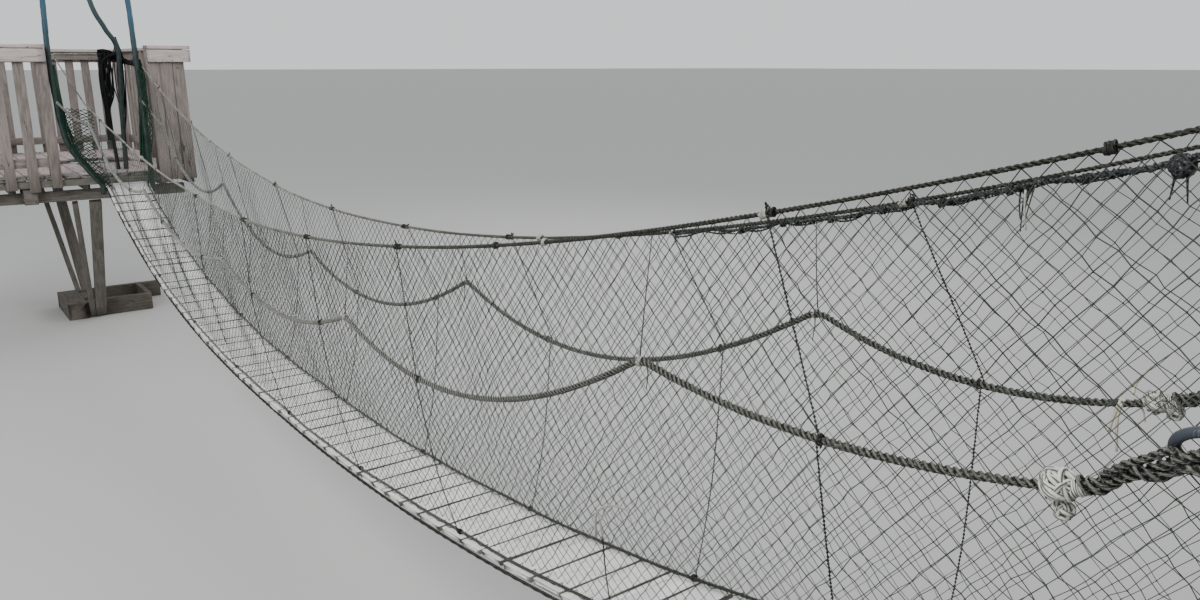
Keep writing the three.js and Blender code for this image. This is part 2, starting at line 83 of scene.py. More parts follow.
# curves of the span: metres, from the far end of the deck at the level of its top
deckCurve = {"lowX": 5.0, "sag": 0.87, "farPower": 2.5, "nearPower": 2.1}
handrailSags = {  # lowest point; height, reach and power of the rise towards the far and the near gate
    -1: ((4.54, 0.278), (0.488, 4.64, 1.7), (1.007, 5.86, 1.95)),
    1: ((4.82, 0.296), (0.854, 4.92, 2.02), (1.002, 5.58, 2.04)),
}
knotPlaces = {  # distance, height, and sag of the swag that follows
    -1: np.array([
        [0.25, 0.59, 0.2], [2.305, 0.2, 0.16], [4.37, -0.008, 0.163],
        [6.307, 0.043, 0.237], [8.404, 0.378, 0.06], [9.555, 0.439, 0],
    ]),
    1: np.array([
        [0.31, 0.586, 0.293], [2.26, 0.206, 0.245], [4.2, -0.055, 0.229],
        [6.341, 0.131, 0.263], [8.496, 0.435, 0.08], [9.458, 0.427, 0],
    ]),
}


def deckZ(x):
    lowX = deckCurve["lowX"]
    side = np.where(x < lowX, lowX, span - lowX)
    power = np.where(x < lowX, deckCurve["farPower"], deckCurve["nearPower"])
    return -deckCurve["sag"] * (1 - (np.abs(x - lowX) / side) ** power)


def handrailZ(x, side):
    (lowX, lowZ), *rises = handrailSags[side]
    far, near = (height * (np.abs(x - lowX) / reach) ** power for height, reach, power in rises)
    return lowZ + np.where(x > lowX, near, far)


def scallopZ(x, side):
    knots = knotPlaces[side]
    index = np.clip(np.searchsorted(knots[:, 0], x, side="right") - 1, 0, 4)
    start, end = knots[index], knots[index + 1]
    part = (x - start[..., 0]) / (end[..., 0] - start[..., 0])
    return start[..., 1] + (end[..., 1] - start[..., 1]) * part - 4 * start[..., 2] * part * (1 - part)


def smoothPath(points, count):
    # points of a uniform Catmull-Rom curve through the given ones, all segments at once
    points = np.asarray(points, float)
    t = np.linspace(0, len(points) - 1, count)
    k = np.minimum(t.astype(int), len(points) - 2)
    f = (t - k)[:, None]
    last = len(points) - 1
    a, b, c, d = (points[np.clip(k + shift, 0, last)] for shift in (-1, 0, 1, 2))
    a = np.where((k == 0)[:, None], 2 * b - c, a)
    d = np.where((k == last - 1)[:, None], 2 * c - b, d)
    return 0.5 * (2 * b + (c - a) * f + (2 * a - 5 * b + 4 * c - d) * f**2 + (3 * b - a - 3 * c + d) * f**3)


def alongPath(points, step):
    # the same path with points a step apart, by length along it
    points = np.asarray(points, float)
    length = np.r_[0, np.cumsum(np.linalg.norm(np.diff(points, axis=0), axis=1))]
    at = np.linspace(0, length[-1], max(int(round(length[-1] / step)), 2) + 1)
    return np.stack([np.interp(at, length, points[:, axis]) for axis in range(3)], -1), at


def unit(vectors):
    return vectors / np.maximum(np.linalg.norm(vectors, axis=-1, keepdims=True), 1e-12)


def softened(path, reach):
    # running mean of the points over a number of neighbours, which rounds off sharp bends
    kernel = np.hanning(reach + 2)[1:-1]
    kernel /= kernel.sum()
    pad = reach // 2
    long = np.vstack([2 * path[0] - path[1:pad + 1][::-1], path, 2 * path[-1] - path[-pad - 1:-1][::-1]])
    return np.stack([np.convolve(long[:, axis], kernel, "valid") for axis in range(3)], -1)


def ringGrid(rings, sides):
    # closed grid of rings: ring and side of each face, the sides, and the triangles of faces and caps
    i, j = np.meshgrid(np.arange(rings - 1), np.arange(sides), indexing="ij")
    i, j = i.ravel(), j.ravel()
    k = (j + 1) % sides
    a, b, c, d = i * sides + j, i * sides + k, (i + 1) * sides + k, (i + 1) * sides + j
    side = np.arange(sides)
    follow = (side + 1) % sides
    first, final = rings * sides, rings * sides + 1
    end = (rings - 1) * sides
    return i, j, side, np.vstack([
        np.stack([a, b, c], -1), np.stack([a, c, d], -1),
        np.stack([np.full(sides, first), follow, side], -1),
        np.stack([np.full(sides, final), side + end, follow + end], -1),
    ])


def tubeShape(path, radius, sides, turn=0.0, up=(0, 0, 1), along=None):
    # ring point = path + radius * (across * cos(angle) + over * sin(angle)), angle = 2 pi j / sides + turn
    path = np.asarray(path, float)
    rings = len(path)
    forward = unit(np.gradient(path, axis=0))
    across = unit(np.cross(np.broadcast_to(np.asarray(up, float), forward.shape), forward))
    over = np.cross(forward, across)
    angle = (2 * np.pi * np.arange(sides)[None] / sides + np.broadcast_to(turn, rings)[:, None])[..., None]
    radius = np.broadcast_to(radius, (rings, sides))
    offset = across[:, None] * np.cos(angle) + over[:, None] * np.sin(angle)
    ring = path[:, None] + radius[..., None] * offset
    points = np.vstack([ring.reshape(-1, 3), path[:1], path[-1:]])
    i, j, side, tris = ringGrid(rings, sides)
    if along is None:
        along = np.r_[0, np.cumsum(np.linalg.norm(np.diff(path, axis=0), axis=1))]
    u0, u1, v0, v1 = along[i], along[i + 1], j / sides, (j + 1) / sides
    pair = lambda u, v: np.stack([u, v], -1)
    capped = lambda u: np.stack([pair(np.full(sides, u), side / sides)] * 3, 1)
    uv = np.vstack([
        np.stack([pair(u0, v0), pair(u0, v1), pair(u1, v1)], 1),
        np.stack([pair(u0, v0), pair(u1, v1), pair(u1, v0)], 1),
        capped(along[0]), capped(along[-1]),
    ])
    return {"points": points, "tris": tris, "uv": uv}


ropeLay = {"pitch": 5.8, "strand": 0.536, "strandSquared": 0.2155, "wander": (0.035, 0.025)}


def ropeShape(path, radius, pitch=None, sides=12, step=0.006, up=(0, 0, 1), groove=0.62, frayed=0.0, swell=None):
    # laid rope of three strands: radius = R * max(three touching circles, groove), turned by 2 pi s / pitch along s;
    # swell gives factors of the radius at distances along the bridge
    path, at = alongPath(path, step)
    pitch = pitch or ropeLay["pitch"] * radius
    angle = 2 * np.pi * np.arange(sides) / sides
    lobe = (angle + np.pi / 3) % (2 * np.pi / 3) - np.pi / 3
    strand = ropeLay["strand"]
    reach = np.sqrt(np.maximum(ropeLay["strandSquared"] - (strand * np.sin(lobe)) ** 2, 0))
    outline = np.maximum(strand * np.cos(lobe) + reach, groove)
    slow, quick = ropeLay["wander"]
    wander = 1 + slow * np.sin(at / 0.11 + radius * 900) + quick * np.sin(at / 0.043 + 1.3)
    radii = radius * outline[None] * wander[:, None]
    if swell:
        radii = radii * np.interp(path[:, 0], *swell)[:, None]
    if frayed:
        radii = radii * (1 + frayed * np.sin(angle * 5 + at[:, None] * 90))
    return tubeShape(path, radii, sides, 2 * np.pi * at / pitch, up, at)


def turnsShape(centre, along, radius, ropeRadius, turns, lean=0.0, sides=8, spread=1.05):
    # lashing: a helix of touching turns round an axis, point = centre + axis * t * pitch + radius * (cos, sin)
    along = unit(np.asarray(along, float))
    across = unit(np.cross(along, (0.13, 0.2, 1.0)))
    over = np.cross(along, across)
    t = np.linspace(0, turns, int(turns * 16) + 1)
    height = (t - turns / 2) * 2 * ropeRadius * spread
    wide = radius * (1 + 0.07 * np.sin(t * 2.7 + radius * 3000))
    circle = across * (wide * np.cos(2 * np.pi * t))[:, None] + over * (wide * np.sin(2 * np.pi * t))[:, None]
    path = np.asarray(centre, float) + along * (height + lean * np.cos(2 * np.pi * t))[:, None] + circle
    lobes = ropeRadius * (1 + 0.12 * np.cos(6 * np.pi * np.arange(sides) / sides))
    return tubeShape(path, lobes[None], sides, 5 * t, tuple(along))


def ballKnot(centre, size, ropeRadius, loops, seed=0):
    # knot: loops of cord on a ball, each a circle in its own plane, a little over one turn so that its ends meet inside
    own = np.random.default_rng(seed)
    turn = np.linspace(0, 2.15 * np.pi, 22)
    shapes = []
    for index in range(loops):
        axis = unit(np.roll([1.0, 0.25, 0.1], index % 3) + own.normal(0, 0.22, 3))
        across = unit(np.cross(axis, own.normal(0, 1, 3)))
        over = np.cross(axis, across)
        shift = own.uniform(-0.62, 0.62)
        wide = (size - ropeRadius) * math.sqrt(1 - shift**2) * own.uniform(0.93, 1.06)
        bump = wide * (1 + 0.08 * np.sin(3 * turn + index))
        loop = across * (bump * np.cos(turn))[:, None] + over * (bump * np.sin(turn))[:, None]
        path = np.asarray(centre) + axis * shift * size + loop
        shapes.append(tubeShape(path, ropeRadius * own.uniform(0.85, 1.1), 7, turn, tuple(axis)))
    return shapes


def cordTail(points, radius, count=14):
    # loose end of cord that thins out towards its tip
    thin = radius * np.linspace(1, 0.55, count)[:, None]
    return tubeShape(smoothPath(points, count), thin, 6, 0.3 * np.arange(count), (0.2, 1, 0.1))


def boardShapes(centre, along, up, size, stations=7, edge=0.004, ripple=0.0005):
    # boards as a rounded rectangle carried along their length;
    # every outline point moves a little in and out by sines of its place
    centre, along, up, size = (np.asarray(v, float).reshape(-1, 3) for v in (centre, along, up, size))
    count = len(centre)
    along, up = unit(np.broadcast_to(along, (count, 3))), np.broadcast_to(up, (count, 3))
    across = unit(np.cross(up, along))
    up = np.cross(along, across)
    arc = np.radians([0, 45, 90])
    corner = np.stack([np.cos(arc), np.sin(arc)], -1)
    back = corner[::-1]
    roundPart = np.vstack([corner, back * (-1, 1), -corner, back * (1, -1)])
    flatPart = np.repeat(np.array([(1, 1), (-1, 1), (-1, -1), (1, -1)], float), 3, axis=0)
    sides = len(roundPart)
    radius = np.minimum(edge, 0.3 * size[:, 1:].min(1))[:, None, None]
    outline = flatPart[None] * (size[:, None, 1:] / 2 - radius) + roundPart[None] * radius
    s = np.linspace(-0.5, 0.5, stations - 2)
    inset = np.minimum(edge / size[:, :1], 0.2)
    s = np.concatenate([np.full((count, 1), -0.5), s[None] * (1 - 2 * inset), np.full((count, 1), 0.5)], 1)
    shrink = np.ones((count, stations))
    shrink[:, [0, -1]] = 0
    outline = outline[:, None] - (1 - shrink)[..., None, None] * roundPart[None, None] * radius[:, None] * 0.9
    phase = random.uniform(0, 6.28, (3, count, 1, sides))
    wave = (s * size[:, :1])[..., None]
    move = np.sin(wave * 9 + phase[0]) + 0.6 * np.sin(wave * 27 + phase[1]) + 0.5 * np.sin(wave * 71 + phase[2])
    outline = outline + roundPart[None, None] * ((move - 2.1) * ripple)[..., None]
    endWear = random.uniform(-0.003, 0, (count, stations))
    ends = s * size[:, :1] + np.sign(s) * (shrink == 0) * endWear
    outline3 = (
        centre[:, None, None] + along[:, None, None] * ends[..., None, None]
        + across[:, None, None] * outline[..., :1] + up[:, None, None] * outline[..., 1:]
    )
    caps = centre[:, None] + along[:, None] * ends[:, [0, -1], None]
    points = np.concatenate([outline3.reshape(count, -1, 3), caps], 1)
    offset = random.uniform(0, 40, (count, 1, 3))
    lengthwise = np.broadcast_to(ends[..., None, None], outline.shape[:3] + (1,))
    local = np.concatenate([
        np.concatenate([lengthwise, outline], -1).reshape(count, -1, 3),
        np.concatenate([ends[:, [0, -1], None], np.zeros((count, 2, 2))], -1),
    ], 1)
    # board: tone of the board, nearness to its end, and how much a point lies on its flank
    toEnd = (size[:, None, 0] / 2 - np.abs(local[..., 0])) / 0.03
    tone = random.uniform(0, 1, count)
    flank = np.r_[np.tile(np.abs(roundPart[:, 0]), stations), 0, 0]
    board = np.stack([
        np.broadcast_to(tone[:, None], toEnd.shape), np.clip(1 - toEnd, 0, 1), np.broadcast_to(flank, toEnd.shape),
    ], -1)
    one = ringGrid(stations, sides)[3]
    tris = (one[None] + (np.arange(count) * points.shape[1])[:, None, None]).reshape(-1, 3)
    return {
        "points": points.reshape(-1, 3), "tris": tris,
        "grain": (local + offset).reshape(-1, 3), "board": board.reshape(-1, 3),
    }


def joinShapes(shapes):
    joined, start = {}, np.cumsum([0] + [len(shape["points"]) for shape in shapes])
    joined["points"] = np.vstack([shape["points"] for shape in shapes])
    joined["tris"] = np.vstack([shape["tris"] + at for shape, at in zip(shapes, start)])
    for key in ("grain", "board"):
        joined[key] = np.vstack([shape.get(key, np.zeros((len(shape["points"]), 3))) for shape in shapes])
    joined["uv"] = np.vstack([shape.get("uv", np.zeros((len(shape["tris"]), 3, 2))) for shape in shapes])
    return joined


def putPiece(name, shapes, materialName, nodes=()):
    shape = joinShapes(shapes if isinstance(shapes, list) else [shapes])
    used, tris = np.unique(shape["tris"], return_inverse=True)
    tris = tris.reshape(-1, 3)
    points = shape["points"][used] + place
    corners = points[tris]
    volume = np.einsum("ij,ij->i", corners[:, 0], np.cross(corners[:, 1], corners[:, 2])).sum()
    if volume < 0:
        tris, shape["uv"] = tris[:, ::-1], shape["uv"][:, ::-1]
    mesh = bpy.data.meshes.new(name)
    mesh.vertices.add(len(points))
    mesh.vertices.foreach_set("co", points.astype(np.float32).ravel())
    mesh.loops.add(tris.size)
    mesh.loops.foreach_set("vertex_index", np.ascontiguousarray(tris, np.int32).ravel())
    mesh.polygons.add(len(tris))
    mesh.polygons.foreach_set("loop_start", np.arange(0, tris.size, 3, dtype=np.int32))
    mesh.polygons.foreach_set("use_smooth", np.ones(len(tris), bool))
    mesh.update(calc_edges=True)
    layer = mesh.uv_layers.new(name="lay")
    layer.uv.foreach_set("vector", np.ascontiguousarray(shape["uv"], np.float32).ravel())
    for key in ("grain", "board"):
        attribute = mesh.attributes.new(key, "FLOAT_VECTOR", "POINT")
        attribute.data.foreach_set("vector", shape[key][used].astype(np.float32).ravel())
    mesh.materials.append(bpy.data.materials[materialName])
    piece = bpy.data.objects.new(name, mesh)
    bpy.context.scene.collection.objects.link(piece)
    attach(piece, "root")
    if nodes:
        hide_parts(*nodes)
    print(f"{name}: {len(tris)} triangles")


def newGroup(name, inputs, outputs):
    group = bpy.data.node_groups.new(name, "ShaderNodeTree")
    for kind, socketName, value in inputs:
        socket = group.interface.new_socket(socketName, in_out="INPUT", socket_type=kind)
        if value is not None:
            socket.default_value = value
    for socketName in outputs:
        group.interface.new_socket(socketName, in_out="OUTPUT", socket_type="NodeSocketFloat")
    nodes = group.nodes
    return group, nodes.new("NodeGroupInput").outputs, nodes.new("NodeGroupOutput").inputs


class nodeMaker:
    # short ways to place a node in a tree, join its sockets, and build the usual maths
    def __init__(self, tree):
        self.tree = tree

    def node(self, kind, inputs=(), **settings):
        made = self.tree.nodes.new("ShaderNode" + kind)
        for key, value in settings.items():
            setattr(made, key, value)
        for key, value in dict(inputs).items():
            if isinstance(value, bpy.types.NodeSocket):
                self.tree.links.new(value, made.inputs[key])
            else:
                made.inputs[key].default_value = value
        return made

    def maths(self, operation, *values):
        return self.node("Math", enumerate(values), operation=operation).outputs[0]

    def vectors(self, operation, *values):
        return self.node("VectorMath", enumerate(values), operation=operation).outputs[0]

    def noise(self, vector, scale, detail, roughness=0.5, output="Fac"):
        inputs = {"Vector": vector, "Scale": scale, "Detail": detail, "Roughness": roughness}
        return self.node("TexNoise", inputs).outputs[output]

    def remap(self, value, low, high, start=0.0, end=1.0):
        inputs = {"Value": value, "From Min": low, "From Max": high, "To Min": start, "To Max": end}
        return self.node("MapRange", inputs).outputs["Result"]

    def mix(self, factor, first, second, mode="MIX"):
        mixed = self.node("Mix", data_type="RGBA", blend_type=mode, clamp_factor=True)
        for socket, value in zip((mixed.inputs[0], mixed.inputs[6], mixed.inputs[7]), (factor, first, second)):
            if isinstance(value, bpy.types.NodeSocket):
                self.tree.links.new(value, socket)
            else:
                socket.default_value = value if isinstance(value, float) else (*value, 1.0)
        return mixed.outputs[2]

    def relief(self, height, strength, distance):
        inputs = {"Height": height, "Strength": strength, "Distance": distance}
        self.link(self.node("Bump", inputs).outputs["Normal"], "Normal")

    def link(self, value, name):
        self.tree.links.new(value, self.shader.inputs[name])

    def place(self, axis=None):
        place = self.node("TexCoord").outputs["Object"]
        return place if axis is None else self.node("SeparateXYZ", {0: place}).outputs[axis]


def woodGrainGroup():
    # grain along the first coordinate: broad figure, fine fibres, drying cracks and blotches
    group, given, result = newGroup("woodGrain", [
        ("NodeSocketVector", "Place", None), ("NodeSocketFloat", "Fibre Width", 0.004),
        ("NodeSocketFloat", "Crack Amount", 0.5),
    ], ("Figure", "Fibre", "Crack", "Blotch"))
    make = nodeMaker(group)
    stretch = make.vectors("MULTIPLY", given["Place"], (0.12, 1.0, 1.0))
    warp = make.noise(stretch, 9.0, 2.0, output="Color")
    bent = make.vectors("MULTIPLY_ADD", warp, (0.0, 0.035, 0.035), stretch)
    thin = make.vectors("MULTIPLY", bent, (0.25, 1.0, 1.0))
    split = make.noise(bent, 26.0, 1.0, 0.4)
    ridge = make.maths("ABSOLUTE", make.maths("SUBTRACT", split, 0.5))
    limit = make.maths("MULTIPLY", given["Crack Amount"], 0.016)
    line = make.remap(ridge, 0.0, limit, 1.0, 0.0)
    where = make.remap(make.noise(stretch, 17.0, 0.0), 0.5, 0.6)
    found = {
        "Figure": make.noise(bent, 55.0, 3.0, 0.6),
        "Fibre": make.noise(thin, make.maths("DIVIDE", 0.9, given["Fibre Width"]), 2.0, 0.7),
        "Crack": make.maths("MULTIPLY", line, where),
        "Blotch": make.noise(given["Place"], 7.0, 4.0, 0.65),
    }
    for name, value in found.items():
        group.links.new(value, result[name])
    return group


def ropeYarnGroup():
    # lay map: u along the rope in metres, v round it once; crowns of the three strands and the yarns in them
    group, given, result = newGroup("ropeYarn", [
        ("NodeSocketVector", "Lay", None), ("NodeSocketVector", "Place", None),
        ("NodeSocketFloat", "Yarns", 15.0), ("NodeSocketFloat", "Yarn Lean", 150.0),
    ], ("Crown", "Yarn", "Patch", "Speck"))
    make = nodeMaker(group)
    parts = make.node("SeparateXYZ", {0: given["Lay"]}).outputs
    round3 = make.maths("MULTIPLY", parts["Y"], 3 * math.pi)
    lean = make.maths("MULTIPLY", parts["X"], given["Yarn Lean"])
    cycles = make.maths("MULTIPLY_ADD", parts["Y"], given["Yarns"], lean)
    wave = make.maths("SINE", make.maths("MULTIPLY", cycles, 2 * math.pi))
    found = {
        "Crown": make.maths("ABSOLUTE", make.maths("COSINE", round3)),
        "Yarn": make.maths("MULTIPLY_ADD", wave, 0.5, 0.5),
        "Patch": make.noise(given["Place"], 9.0, 3.0, 0.6),
        "Speck": make.noise(given["Place"], 160.0, 2.0, 0.7),
    }
    for name, value in found.items():
        group.links.new(value, result[name])
    return group


woodGrain = woodGrainGroup()
ropeYarn = ropeYarnGroup()


def newMaterial(name, roughness, specular=0.3):
    material = bpy.data.materials.new(name)
    material.use_nodes = True
    make = nodeMaker(material.node_tree)
    make.shader = material.node_tree.nodes["Principled BSDF"]
    make.shader.inputs["Roughness"].default_value = roughness
    make.shader.inputs["Specular IOR Level"].default_value = specular
    return make


def timberMaterial(name, looks):
    make = newMaterial(name, looks["roughness"], 0.2)
    grain = make.node("Attribute", attribute_name="grain").outputs["Vector"]
    board = make.node("SeparateXYZ", {0: make.node("Attribute", attribute_name="board").outputs["Vector"]}).outputs
    inputs = {"Place": grain, "Fibre Width": looks["fibre"], "Crack Amount": looks["cracks"]}
    wood = make.node("Group", inputs, node_tree=woodGrain).outputs
    base = make.mix(make.remap(wood["Figure"], 0.33, 0.66), looks["dark"], looks["light"])
    # the flank layer darkens the boards' side faces: painted shade in the gaps between boards
    layers = (
        (wood["Fibre"], 0.35, 0.7, "fibreStrength", "fibreColour"), (wood["Blotch"], 0.45, 0.7, "stain", "stainColour"),
        (board["X"], 0.0, 1.0, "toneSpread", "otherTone"), (board["Y"], 0.2, 1.0, "endDark", "endColour"),
        (board["Z"], 0.7, 1.0, "flankDark", "flankColour"),
    )
    for value, low, high, share, colour in layers:
        base = make.mix(make.remap(value, low, high, 0.0, looks[share]), base, looks[colour])
    make.link(make.mix(wood["Crack"], base, looks["crackColour"]), "Base Color")
    height = make.maths("MULTIPLY_ADD", wood["Fibre"], 0.5, wood["Figure"])
    height = make.maths("MULTIPLY_ADD", wood["Crack"], -2.5, height)
    make.relief(height, looks["bump"], 0.002)


def ropeMaterial(name, looks):
    make = newMaterial(name, 0.92, 0.15)
    inputs = {
        "Lay": make.node("UVMap", uv_map="lay").outputs["UV"], "Place": make.place(),
        "Yarns": looks["yarns"], "Yarn Lean": looks["lean"],
    }
    rope = make.node("Group", inputs, node_tree=ropeYarn).outputs
    # groove colour is painted shade in the grooves between the strands; crown colour is the rope's own colour with a
    # painted highlight on the strand crests
    base = make.mix(make.remap(rope["Crown"], *looks["crownFrom"]), looks["groove"], looks["crown"])
    base = make.mix(make.remap(rope["Patch"], 0.4, 0.62, 0.0, looks["patch"]), base, looks["patchColour"])
    # the yarn stripes mix in the groove colour: painted shade between the yarns
    base = make.mix(make.remap(rope["Yarn"], 0.0, 0.6, looks["yarnShade"], 0.0), base, looks["groove"])
    # pale specks mixed in here are painted glints on the fibres
    base = make.mix(make.remap(rope["Speck"], 0.5, 0.72, 0.0, looks["speck"]), base, looks["speckColour"])
    # the tint darkens the rope towards the near end of the bridge, growing along X
    weathered = make.remap(make.place("X"), *looks["weatheredFrom"], 0.0, looks["weathered"])
    make.link(make.mix(weathered, base, looks["weatheredTint"], "MULTIPLY"), "Base Color")
    make.relief(make.maths("ADD", rope["Yarn"], rope["Speck"]), looks["bump"], 0.0014)


def hoseMaterial(name, looks):
    make = newMaterial(name, 0.55, looks["specular"])
    base = make.mix(make.remap(make.place("Z"), looks["lowZ"], looks["highZ"]), looks["low"], looks["high"])
    broad = make.noise(make.place(), 11.0, 4.0, 0.7)
    base = make.mix(make.remap(broad, 0.42, 0.66, 0.0, looks["dirt"]), base, looks["dirtColour"])
    scratch = make.noise(make.vectors("MULTIPLY", make.place(), (70.0, 70.0, 9.0)), 2.0, 3.0)
    base = make.mix(make.remap(scratch, 0.6, 0.72, 0.0, looks["scuff"]), base, looks["scuffColour"])
    make.link(base, "Base Color")
    make.link(make.remap(broad, 0.3, 0.7, 0.42, 0.8), "Roughness")
    make.relief(scratch, 0.25, 0.001)


def netMaterial(name, looks):
    make = newMaterial(name, 0.85, 0.2)
    patch = make.noise(make.place(), 3.0, 5.0, 0.7)
    make.link(make.mix(make.remap(patch, 0.35, 0.7), looks["dark"], looks["light"]), "Base Color")
    make.relief(make.noise(make.place(), 700.0, 1.0), 0.4, 0.0006)


# deck boards: the flank colour is painted shade on the side faces in the gaps between boards
deckLooks = {
    "dark": (0.68, 0.67, 0.65), "light": (0.95, 0.945, 0.93), "otherTone": (0.68, 0.66, 0.63), "toneSpread": 0.3,
    "fibre": 0.005, "fibreStrength": 0.35, "fibreColour": (0.5, 0.49, 0.46),
    "cracks": 0.6, "crackColour": (0.07, 0.065, 0.06), "stain": 0.2, "stainColour": (0.55, 0.53, 0.5),
    "endDark": 0.35, "endColour": (0.45, 0.43, 0.4), "flankDark": 0.9, "flankColour": (0.09, 0.085, 0.07),
    "roughness": 0.9, "bump": 0.6,
}
platformLooks = {
    "dark": (0.145, 0.121, 0.114), "light": (0.3, 0.258, 0.24), "otherTone": (0.36, 0.31, 0.29), "toneSpread": 0.5,
    "fibre": 0.005, "fibreStrength": 0.5, "fibreColour": (0.12, 0.1, 0.09),
    "cracks": 0.6, "crackColour": (0.03, 0.026, 0.023), "stain": 0.45, "stainColour": (0.14, 0.14, 0.11),
    "endDark": 0.5, "endColour": (0.12, 0.1, 0.085), "flankDark": 0.0, "flankColour": (0.1, 0.09, 0.08),
    "roughness": 0.9, "bump": 0.7,
}
railLooks = dict(
    platformLooks, dark=(0.43, 0.36, 0.345), light=(0.68, 0.585, 0.57), otherTone=(0.5, 0.44, 0.42),
    fibreColour=(0.28, 0.24, 0.22), stain=0.25,
)
floorLooks = dict(railLooks, endDark=0.9, endColour=(0.13, 0.13, 0.12))
frameLooks = dict(
    platformLooks, dark=(0.085, 0.075, 0.066), light=(0.2, 0.185, 0.165), otherTone=(0.15, 0.145, 0.125),
    stainColour=(0.075, 0.085, 0.06),
)
collarLooks = dict(
    platformLooks, dark=(0.055, 0.047, 0.04), light=(0.13, 0.114, 0.098), otherTone=(0.09, 0.08, 0.065),
    stainColour=(0.05, 0.06, 0.042),
)
# rope looks: groove is painted shade in the strand grooves, crown is the own colour with a painted highlight on the
# crests, and the pale specks are painted glints
greyRopeLooks = {
    "groove": (0.008, 0.008, 0.006), "crown": (0.48, 0.475, 0.45), "crownFrom": (0.62, 0.98), "bump": 0.8,
    "yarns": 15.0, "lean": 150.0, "yarnShade": 0.45, "patch": 0.5, "patchColour": (0.13, 0.135, 0.12),
    "speck": 0.6, "speckColour": (0.72, 0.72, 0.66),
    "weatheredFrom": (5.0, 9.4), "weatheredTint": (0.42, 0.43, 0.405), "weathered": 1.0,
}
handrailRopeLooks = dict(
    greyRopeLooks, groove=(0.012, 0.011, 0.009), crown=(0.46, 0.44, 0.38), crownFrom=(0.3, 1.0), patch=0.65,
    weatheredFrom=(5.4, 8.8), weatheredTint=(0.2, 0.205, 0.195), speck=0.7, speckColour=(0.75, 0.75, 0.68),
)
darkRopeLooks = dict(
    greyRopeLooks, groove=(0.01, 0.01, 0.009), crown=(0.085, 0.085, 0.075), crownFrom=(0.1, 0.8),
    patchColour=(0.035, 0.035, 0.03), speckColour=(0.26, 0.26, 0.24), speck=0.35, weathered=0.0,
)
hangerLooks = dict(darkRopeLooks, crown=(0.12, 0.135, 0.115), groove=(0.02, 0.022, 0.019))
footRopeLooks = dict(
    greyRopeLooks, groove=(0.06, 0.06, 0.055), crown=(0.5, 0.5, 0.48), patchColour=(0.16, 0.165, 0.15), patch=0.7,
    weatheredFrom=(4.5, 9.5), weatheredTint=(0.25, 0.27, 0.25),
)
headRopeLooks = dict(
    darkRopeLooks, groove=(0.006, 0.007, 0.01), crown=(0.05, 0.053, 0.06), patchColour=(0.013, 0.014, 0.018),
    speckColour=(0.36, 0.37, 0.36), speck=0.5,
)
paleRopeLooks = dict(
    greyRopeLooks, groove=(0.3, 0.29, 0.26), crown=(0.5, 0.49, 0.45), crownFrom=(0.35, 0.95), patch=0.45,
    patchColour=(0.24, 0.23, 0.2), yarns=2.0, yarnShade=0.15, speck=0.3, weathered=0.0,
)
knotCordLooks = dict(
    paleRopeLooks, groove=(0.07, 0.07, 0.06), crown=(0.62, 0.62, 0.57), crownFrom=(0.2, 0.8), patch=0.35,
    patchColour=(0.25, 0.25, 0.22), yarnShade=0.0, speck=0.1, bump=0.15,
)
strawLooks = dict(
    knotCordLooks, groove=(0.42, 0.4, 0.32), crown=(0.6, 0.58, 0.48), patchColour=(0.34, 0.31, 0.22),
)
hoseLooks = {
    "low": (0.006, 0.022, 0.019), "high": (0.016, 0.07, 0.12), "lowZ": 2.7, "highZ": 3.12, "specular": 0.35,
    "dirt": 0.5, "dirtColour": (0.05, 0.065, 0.055), "scuff": 0.25, "scuffColour": (0.2, 0.3, 0.3),
}
loopHoseLooks = dict(
    hoseLooks, low=(0.034, 0.042, 0.054), high=(0.044, 0.056, 0.07),
    dirtColour=(0.02, 0.024, 0.03), scuffColour=(0.3, 0.34, 0.38),
)
stayLooks = dict(hoseLooks, low=(0.01, 0.022, 0.022), high=(0.014, 0.05, 0.065), lowZ=2.7, highZ=3.3)
strapLooks = dict(
    hoseLooks, low=(0.006, 0.006, 0.007), high=(0.009, 0.01, 0.011),
    dirtColour=(0.014, 0.014, 0.014), scuffColour=(0.04, 0.04, 0.04), specular=0.1,
)
netLooks = {"dark": (0.02, 0.027, 0.022), "light": (0.09, 0.105, 0.085)}
netEndLooks = {"dark": (0.006, 0.02, 0.013), "light": (0.025, 0.06, 0.04)}

for makeMaterial, named in (
    (timberMaterial, {
        "deckWood": (deckLooks, "deck_boards"), "platformWood": (platformLooks, "platform_timber"),
        "railWood": (railLooks, "rail_timber"), "floorWood": (floorLooks, "rail_timber"),
        "frameWood": (frameLooks, "platform_timber"), "collarWood": (collarLooks, "platform_timber"),
    }),
    (ropeMaterial, {
        "greyRope": (greyRopeLooks, "grey_rope"), "handrailRope": (handrailRopeLooks, "grey_rope"),
        "darkRope": (darkRopeLooks, "dark_rope"), "hangerRope": (hangerLooks, "dark_rope"),
        "footRope": (footRopeLooks, "dark_rope"), "headRope": (headRopeLooks, "dark_rope"),
        "paleRope": (paleRopeLooks, "grey_rope"), "knotCord": (knotCordLooks, "grey_rope"),
        "strawTwine": (strawLooks, "grey_rope"),
    }),
    (hoseMaterial, {
        "hoseSleeve": (hoseLooks, "sling_hose"), "loopHose": (loopHoseLooks, "sling_hose"),
        "stayHose": (stayLooks, "sling_hose"), "blackStrap": (strapLooks, "sling_hose"),
    }),
    (netMaterial, {"netTwine": (netLooks, "net_twine"), "netEndTwine": (netEndLooks, "net_twine")}),
):
    for materialName, (looks, slotName) in named.items():
        makeMaterial(materialName, looks)
print("materials made")

deckBoards = {
    "widths": (0.142, 0.176, 0.095, 0.15, 0.165, 0.12, 0.14, 0.19), "gap": 0.014, "length": 0.4, "thickness": 0.03,
    "yaw": 0.6, "bays": 5,
}


